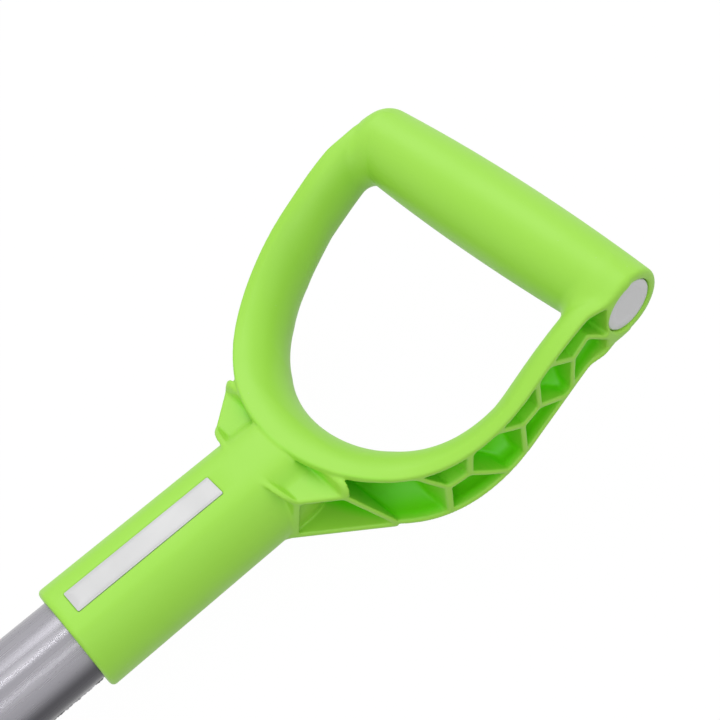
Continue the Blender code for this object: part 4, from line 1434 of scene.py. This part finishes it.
class NodeShape(Nodes):
    """A Geometry Nodes tree with named inputs, run once on an empty mesh."""

    KINDS = {int: "NodeSocketInt", float: "NodeSocketFloat", Vector: "NodeSocketVector",
             Item: "NodeSocketObject", Material: "NodeSocketMaterial"}

    def __init__(self, name: str, finish: Finishes, **inputs: object) -> None:
        """Start a tree.

        Args:
            name: the name of the tree and of its piece.
            finish: what the piece is made of.
            inputs: value by input name, with underscores for spaces.
        """
        super().__init__(bpy.data.node_groups.new(name, "GeometryNodeTree"))
        self.name, self.finish = name, finish
        self.values = {label.replace("_", " "): value for label, value in inputs.items()}
        self.values["Material"] = finish.material()
        for label, value in self.values.items():
            self.tree.interface.new_socket(label, in_out="INPUT", socket_type=self.KINDS[type(value)])
        self.tree.interface.new_socket("Geometry", in_out="OUTPUT", socket_type="NodeSocketGeometry")
        self.given = self.tree.nodes.new("NodeGroupInput").outputs

    def run(self, geometry: Socket) -> Item:
        """Finish the tree, run it and keep its result as a plain piece.

        Args:
            geometry: the socket with the tree's result.

        Returns:
            The finished piece.
        """
        real = self.add("GeometryNodeRealizeInstances", {"Geometry": geometry}).outputs["Geometry"]
        dressed = self.add("GeometryNodeSetMaterial", {"Geometry": real, "Material": self.given["Material"]})
        self.add("NodeGroupOutput", {"Geometry": dressed.outputs["Geometry"]})
        carrier = link(self.name, bpy.data.meshes.new(self.name + "_base"))
        step = carrier.modifiers.new(self.name, "NODES")
        step.node_group = self.tree
        for socket in self.tree.interface.items_tree:
            if socket.in_out == "INPUT":
                step[socket.identifier] = self.values[socket.name]
        return show_smooth(self.name, settled(carrier), self.finish)


@dataclass(frozen=True)
class Row:
    """A row of repeated shapes: how many, where, and how much each differs from the next."""

    count: int
    start: Vector
    step: Vector
    tilt: float = 0.0
    size_change: float = 0.0
    seed: int = 3

    def build(self, name: str, shape: Mesh, finish: Finishes) -> Item:
        """Repeat a shape along the row by Geometry Nodes.

        Args:
            name: the piece's name.
            shape: one shape about the origin, in metres.
            finish: what it is made of.

        Returns:
            The finished piece.
        """
        single = bpy.data.objects.new(name + "_single", shape)
        nodes = NodeShape(name, finish, Count=self.count, Start=self.start, Step=self.step, Tilt=self.tilt,
                          Smallest=1.0 - self.size_change, Seed=self.seed, Shape=single)
        given = nodes.given
        line = nodes.add("GeometryNodeMeshLine", {"Count": given["Count"], "Start Location": given["Start"],
                                                  "Offset": given["Step"]})
        shapes = nodes.add("GeometryNodeObjectInfo", {"Object": given["Shape"]})
        lowest = nodes.maths("MULTIPLY", given["Tilt"], -1.0)
        low, high = (nodes.add("ShaderNodeCombineXYZ", dict.fromkeys(range(3), end)).outputs[0]
                     for end in (lowest, given["Tilt"]))
        turns = nodes.add("FunctionNodeRandomValue", {0: low, 1: high, "Seed": given["Seed"]},
                          data_type="FLOAT_VECTOR")
        sizes = nodes.add("FunctionNodeRandomValue", {2: given["Smallest"], "Seed": given["Seed"]},
                          data_type="FLOAT")
        placed = nodes.add("GeometryNodeInstanceOnPoints",
                           {"Points": line.outputs["Mesh"], "Instance": shapes.outputs["Geometry"],
                            "Rotation": turns.outputs[0], "Scale": sizes.outputs[1]})
        piece = nodes.run(placed.outputs["Instances"])
        bpy.data.objects.remove(single, do_unlink=True)
        return piece


@dataclass(frozen=True)
class Fittings:
    """The small pieces on the grip and the blade's socket. A profile lists (radius, depth or height)."""

    mouth: Vector
    sizes: GripSizes = field(default_factory=GripSizes)
    plug_sink: float = 0.4
    plug_profile: tuple[Pair, ...] = (
        (0.6, 0.32), (5.6, 0.30), (6.3, 0.22), (6.8, 0.04), (7.2, 0.0), (9.2, 0.0), (9.6, 0.12), (9.8, 0.45),
        (9.8, 3.0), (8.2, 3.0), (8.2, 11.0), (6.7, 11.0), (6.7, 1.8), (0.6, 1.8))
    label_gap: float = 0.12
    label_glue: float = 0.22
    label_edge: Pair = (0.25, 0.06)
    label_side: float = 0.62
    label_crown: float = 0.36
    label_crown_reach: float = 0.97
    label_corner: float = 0.5
    label_steps: int = 9
    screw_profile: tuple[Pair, ...] = (
        (0.3, 19.72), (2.6, 19.70), (3.4, 19.60), (3.75, 19.42), (3.8, 19.25), (1.9, 17.5), (1.9, 9.8),
        (1.2, 8.3), (0.3, 7.9))
    cross_height: float = 19.9
    cross_length: float = 4.6
    cross_width: float = 0.95
    cross_depth: float = 3.6
    rivet_seat: float = 18.2
    rivet_radius: float = 4.8
    rivet_shank: float = 2.5
    rivet_dome: float = 1.7
    rivet_tip: float = 0.02
    rivet_lip: float = 0.05
    rivet_steps: int = 10

    def at(self, x: float, y: float, z: float) -> Matrix:
        """A place in millimetres from the socket's mouth."""
        return Matrix.Translation(self.mouth + Vector((x, y, z)) * MM)

    def plug(self) -> Item:
        """The end plug: a dished cap with a raised ring, and its hollow skirt.

        Returns:
            The finished piece.
        """
        s = self.sizes
        face = s.bar_half - self.plug_sink
        place = self.at(0.0, s.bar_y, s.bar_z) @ Matrix.Rotation(math.radians(90.0), 4, "Y")
        profile = [(radius, face - depth) for radius, depth in self.plug_profile]
        return show_smooth("end_plug", turn_profile("end_plug", profile, place, 96), Finishes.PLUG, 50.0)

    def label(self) -> Item:
        """The bare domed label in its recess.

        Returns:
            The finished piece.
        """
        s = self.sizes
        half_x, half_y = s.label_width / 2 - self.label_gap, s.label_length / 2 - self.label_gap
        ease_in, ease_up = self.label_edge
        levels = [(ease_in, 0.0), (0.0, ease_up), (0.0, self.label_side)]
        for k in range(1, self.label_steps + 1):
            turn = math.radians(90.0 * k / self.label_steps)
            inset = self.label_crown_reach * half_x * (1.0 - math.cos(turn))
            levels.append((inset, self.label_side + self.label_crown * (1.0 - (1.0 - inset / half_x) ** 4)))
        floor = s.pad_height - s.label_recess + self.label_glue
        place = self.at(0.0, s.label_start + s.label_length / 2, floor)
        mesh = plate("domed_label", half_x, half_y, (self.label_corner, self.label_corner), levels, place)
        return show_smooth("domed_label", mesh, Finishes.LABEL, 60.0)

    def screw(self) -> Item:
        """The countersunk screw with its cross recess, in the socket's back.

        Returns:
            The finished piece.
        """
        place = self.at(0.0, self.sizes.screw_place, 0.0) @ Matrix.Rotation(math.radians(180.0), 4, "X")
        carrier = link("screw_blank", turn_profile("screw_blank", self.screw_profile, place, 48))
        outwards(carrier.data)
        middle = place @ Matrix.Translation(Vector((0.0, 0.0, self.cross_height)) * MM)
        cutters = []
        for size in ((self.cross_length, self.cross_width), (self.cross_width, self.cross_length)):
            matrix = middle @ Matrix.Diagonal((*(Vector((*size, self.cross_depth)) * MM), 1.0))
            cutter = link("cross_bar", primitive("cross_bar", bmesh.ops.create_cube, size=1.0, matrix=matrix))
            cut = carrier.modifiers.new("cross", "BOOLEAN")
            cut.operation, cut.solver, cut.object = "DIFFERENCE", "EXACT", cutter
            cutters.append(cutter)
        return show_smooth("countersunk_screw", settled(carrier, *cutters), Finishes.ZINC, 30.0)

    def rivets(self) -> Item:
        """The two rivets across the blade's socket, repeated by Geometry Nodes.

        Returns:
            The finished piece.
        """
        boxes = (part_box(name) for name in ("socket_rivet_lower", "socket_rivet_upper"))
        first, second = ((low + high) / 2 for low, high in boxes)
        radius, seat = self.rivet_radius, self.rivet_seat
        turns = [math.radians(90.0 * k / self.rivet_steps) for k in range(self.rivet_steps)]
        half = [(radius * math.sin(turn) + self.rivet_tip, seat + self.rivet_dome * math.cos(turn) ** 0.8)
                for turn in turns] + [(radius, seat + self.rivet_lip), (self.rivet_shank, seat)]
        profile = half + [(radius, -height) for radius, height in reversed(half)]
        shape = turn_profile("rivet", profile, Matrix.Rotation(math.radians(90.0), 4, "Y"), 40)
        return Row(2, first, second - first).build("socket_rivets", shape, Finishes.ZINC)


@dataclass(frozen=True)
class Shaft:
    """The tube with its welded seam, and the treads on the blade's shoulders."""

    axis_height: float
    low_y: float
    high_y: float
    mouth_y: float
    radius: float = 16.0
    wall: float = 1.5
    end_round: float = 0.3
    sides: int = 144
    seam_angle: float = -33.0
    seam_pitch: float = 1.1
    seam_drop: Triple = (0.75, 1.9, 2.2)
    seam_gap: float = 0.4
    tread_corners: Pair = (4.0, 0.6)
    tread_ease: float = 0.55
    tread_facet: float = 0.16

    def tube(self) -> Item:
        """The tube: its wall's section taken round a circle by Geometry Nodes.

        Returns:
            The finished piece.
        """
        nodes = NodeShape("drawn_tube", Finishes.TUBE, Middle_Radius=(self.radius - self.wall / 2) * MM,
                          Wall=self.wall * MM, Length=self.high_y - self.low_y,
                          Edge_Round=self.end_round * MM, Sides=self.sides)
        given = nodes.given
        path = nodes.add("GeometryNodeCurvePrimitiveCircle",
                         {"Resolution": given["Sides"], "Radius": given["Middle Radius"]})
        section = nodes.add("GeometryNodeCurvePrimitiveQuadrilateral",
                            {"Width": given["Wall"], "Height": given["Length"]})
        rounded = nodes.add("GeometryNodeFilletCurve", {"Curve": section.outputs["Curve"]})
        for socket in rounded.inputs:
            if socket.name == "Radius":
                nodes.wire(socket, given["Edge Round"])
        wall = nodes.add("GeometryNodeCurveToMesh",
                         {"Curve": path.outputs["Curve"], "Profile Curve": rounded.outputs["Curve"]})
        placed = nodes.add("GeometryNodeTransform",
                           {"Geometry": wall.outputs["Mesh"], "Rotation": (math.radians(90.0), 0.0, 0.0),
                            "Translation": (0.0, (self.low_y + self.high_y) / 2, self.axis_height)})
        return nodes.run(placed.outputs["Geometry"])

    def seam(self) -> Item:
        """The rough weld seam along the tube, between the blade's socket and the grip.

        Returns:
            The finished piece.
        """
        start_y, end_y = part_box("blade")[1].y + MM, self.mouth_y - self.seam_gap * MM
        angle = math.radians(self.seam_angle)
        way = Vector((math.cos(angle), 0.0, math.sin(angle)))
        start = Vector((0.0, start_y, self.axis_height)) + way * (self.radius * MM)
        matrix = Matrix.Diagonal((*(Vector(self.seam_drop) * MM), 1.0))
        shape = primitive("seam_drop", bmesh.ops.create_icosphere, subdivisions=2, radius=0.5, matrix=matrix)
        shape.transform(Matrix.Rotation(-angle, 4, "Y"))
        count = int((end_y - start_y) / (self.seam_pitch * MM))
        row = Row(count, start, Vector((0.0, (end_y - start_y) / count, 0.0)), tilt=0.30, size_change=0.45)
        return row.build("tube_seam", shape, Finishes.WELD)

    def tread(self, node: str, side: float) -> Item:
        """One tread: a thick plate with eased edges, upright on the shoulder.

        Args:
            node: the tread's CAD node, which gives its place and size.
            side: 1 for the right and -1 for the left.

        Returns:
            The finished piece.
        """
        low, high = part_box(node)
        half = (high - low) / 2 / MM
        ease, facet = self.tread_ease, self.tread_facet
        levels = [(ease, -half.y), (facet, -half.y + facet), (0.0, -half.y + ease),
                  (0.0, half.y - ease), (facet, half.y - facet), (ease, half.y)]
        turn = Matrix(((-side, 0.0, 0.0), (0.0, 0.0, side), (0.0, 1.0, 0.0))).to_4x4()
        place = Matrix.Translation((low + high) / 2) @ turn
        name = "plate_" + node
        mesh = plate(name, half.x, half.z, self.tread_corners, levels, place)
        return show_smooth(name, mesh, Finishes.BLADE, 50.0)


# The scene

@dataclass(frozen=True)
class Studio:
    """White floor, soft lamps and the camera at the photograph's place."""

    eye: Triple = (0.2486, 0.36786, 0.40139)
    target: Triple = (-0.01507, 0.51618, 0.0203)
    roll: float = 15.38
    lens: float = 64.63
    sensor: float = 36.0
    sight_end: float = 50.0
    light_above: float = 0.84
    light_below: float = 0.78
    floor_size: float = 60.0
    floor_gap: float = 0.0002
    floor_grey: float = 0.26
    floor_glow: float = 1.04
    floor_glow_share: float = 0.95
    softboxes: tuple[tuple[str, Triple, float, float], ...] = (
        ("key_softbox", (-1.25, 0.55, 2.05), 1.5, 13.0), ("fill_softbox", (1.6, -1.6, 1.9), 1.2, 6.0))
    strips: tuple[tuple[str, float, float], ...] = (("overhead_strip", 87.0, 4.5), ("front_strip", 46.5, 2.2))
    strip_size: Pair = (0.08, 1.7)
    strip_distance: float = 2.2

    def build(self) -> None:
        """Make the camera, the lamps, the world and the floor."""
        self.make_camera()
        self.make_world()
        self.make_floor()
        for name, offset, size, power in self.softboxes:
            place = Matrix.Translation(Vector(self.target) + Vector(offset))
            self.make_lamp(name, power, (size, size), place @ self.facing(-Vector(offset)))
        for name, angle, power in self.strips:
            turn = Matrix.Rotation(math.radians(90.0 - angle), 4, "Y")
            place = turn @ Matrix.Translation((0.0, 0.0, self.strip_distance))
            self.make_lamp(name, power, self.strip_size, place)
        bpy.context.scene.view_settings.view_transform = "Standard"

    @staticmethod
    def facing(way: Vector) -> Matrix:
        """The turn of a camera or lamp that faces a way."""
        return way.to_track_quat("-Z", "Y").to_matrix().to_4x4()

    def make_camera(self) -> None:
        """Place the camera by its eye, its target and its roll about the line of sight."""
        data = bpy.data.cameras.new("camera")
        data.lens, data.sensor_width, data.clip_end = self.lens, self.sensor, self.sight_end
        sight = Vector(self.target) - Vector(self.eye)
        turn = Matrix.Rotation(math.radians(self.roll), 4, sight)
        camera = link("camera", data)
        camera.matrix_world = Matrix.Translation(self.eye) @ turn @ self.facing(sight)
        bpy.context.scene.camera = camera

    @staticmethod
    def make_lamp(name: str, power: float, size: Pair, place: Matrix) -> None:
        """Add an area lamp.

        Args:
            name: the lamp's name.
            power: its power in watts.
            size: its width and length in metres.
            place: where it hangs, facing down its own Z axis.
        """
        data = bpy.data.lights.new(name, "AREA")
        data.shape = "RECTANGLE"
        data.size, data.size_y = size
        data.energy = power
        link(name, data).matrix_world = place

    def make_world(self) -> None:
        """Light evenly from all round, and show white behind the object."""
        world = bpy.data.worlds.new("studio_world")
        bpy.context.scene.world = world
        world.use_nodes = True
        nodes = Nodes(world.node_tree)
        way = nodes.parts(nodes.add("ShaderNodeTexCoord").outputs["Generated"])["Z"]
        ambient = nodes.ramp(way, 0.0, 0.9, self.light_below, self.light_above)
        shown = {"Value": self.seen_directly(nodes), "To Min": ambient, "To Max": 1.0}
        background = nodes.tree.nodes["Background"]
        nodes.wire(background.inputs["Color"], WHITE)
        nodes.wire(background.inputs["Strength"], nodes.add("ShaderNodeMapRange", shown).outputs["Result"])

    @staticmethod
    def seen_directly(nodes: Nodes) -> Socket:
        """1 for rays that see the backdrop: from the camera, in a reflection or through glass."""
        paths = nodes.add("ShaderNodeLightPath").outputs
        either = nodes.maths("MAXIMUM", paths["Is Camera Ray"], paths["Is Glossy Ray"])
        return nodes.maths("MAXIMUM", either, paths["Is Transmission Ray"])

    def make_floor(self) -> None:
        """A wide white floor that shows white and keeps a faint shadow."""
        floor = link("floor", primitive("floor", bmesh.ops.create_grid, x_segments=1, y_segments=1,
                                        size=self.floor_size / 2))
        floor.location = (0.0, 0.0, -self.floor_gap)
        material, nodes, shader = start_material("white_floor")
        nodes.wire(shader.inputs["Base Color"], (self.floor_grey,) * 3)
        nodes.wire(shader.inputs["Roughness"], 0.9)
        glow = nodes.add("ShaderNodeEmission", {"Color": WHITE, "Strength": self.floor_glow})
        share = nodes.maths("MULTIPLY", self.seen_directly(nodes), self.floor_glow_share)
        mixed = nodes.add("ShaderNodeMixShader",
                          {0: share, 1: shader.outputs["BSDF"], 2: glow.outputs["Emission"]})
        nodes.wire(nodes.tree.nodes["Material Output"].inputs["Surface"], mixed.outputs["Shader"])
        floor.data.materials.append(material)


class Spade:
    """The whole spade: its pieces are built in order, each on the root body."""

    def __init__(self) -> None:
        """Read the places that the pieces share from the frame."""
        mouth_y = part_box("d_grip")[0].y
        tube_low, tube_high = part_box("shaft_tube")
        axis_height = (tube_low.z + tube_high.z) / 2
        self.mouth = Vector((0.0, mouth_y, axis_height))
        self.shoulders = Vector((0.0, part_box("blade")[1].y - Blade.socket_length * MM, axis_height))
        self.fittings = Fittings(self.mouth)
        self.shaft = Shaft(axis_height, tube_low.y, tube_high.y, mouth_y)

    def build(self) -> None:
        """Build and dress every piece."""
        self.add(Blade().build(self.shoulders), "blade_steel", "blade")
        self.add(self.fittings.plug(), "plug_plastic", "grip_plug")
        self.add(self.fittings.label(), "label", "label_plate")
        self.add(self.fittings.screw(), "fastener", "grip_screw")
        self.add(self.fittings.rivets(), "fastener", "socket_rivet_lower", "socket_rivet_upper")
        self.add(self.shaft.tube(), "tube_steel", "shaft_tube")
        self.add(self.shaft.seam(), "tube_steel")
        for node, side in (("tread_right", 1.0), ("tread_left", -1.0)):
            self.add(self.shaft.tread(node, side), "blade_steel", node)
        self.add(Grip().build(self.mouth), "grip_plastic", "d_grip")

    @staticmethod
    def add(piece: Item, slot: str, *nodes: str) -> None:
        """Let a finished piece ride on the root body, and stand for the CAD nodes that it has.

        Args:
            piece: the finished piece.
            slot: the record's material slot, which is not used.
            nodes: the nodes that it replaces, or none for a piece that only the looks have.
        """
        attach(piece, ROOT)
        if nodes:
            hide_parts(*nodes)
        log.info("%s: stands for %s", piece.name, ", ".join(nodes) or "no node")


def main() -> None:
    """Build the scene."""
    logging.basicConfig(level=logging.INFO, format="%(message)s")
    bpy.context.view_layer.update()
    Effects.build()
    Studio().build()
    Spade().build()


if __name__ == "__main__":
    main()
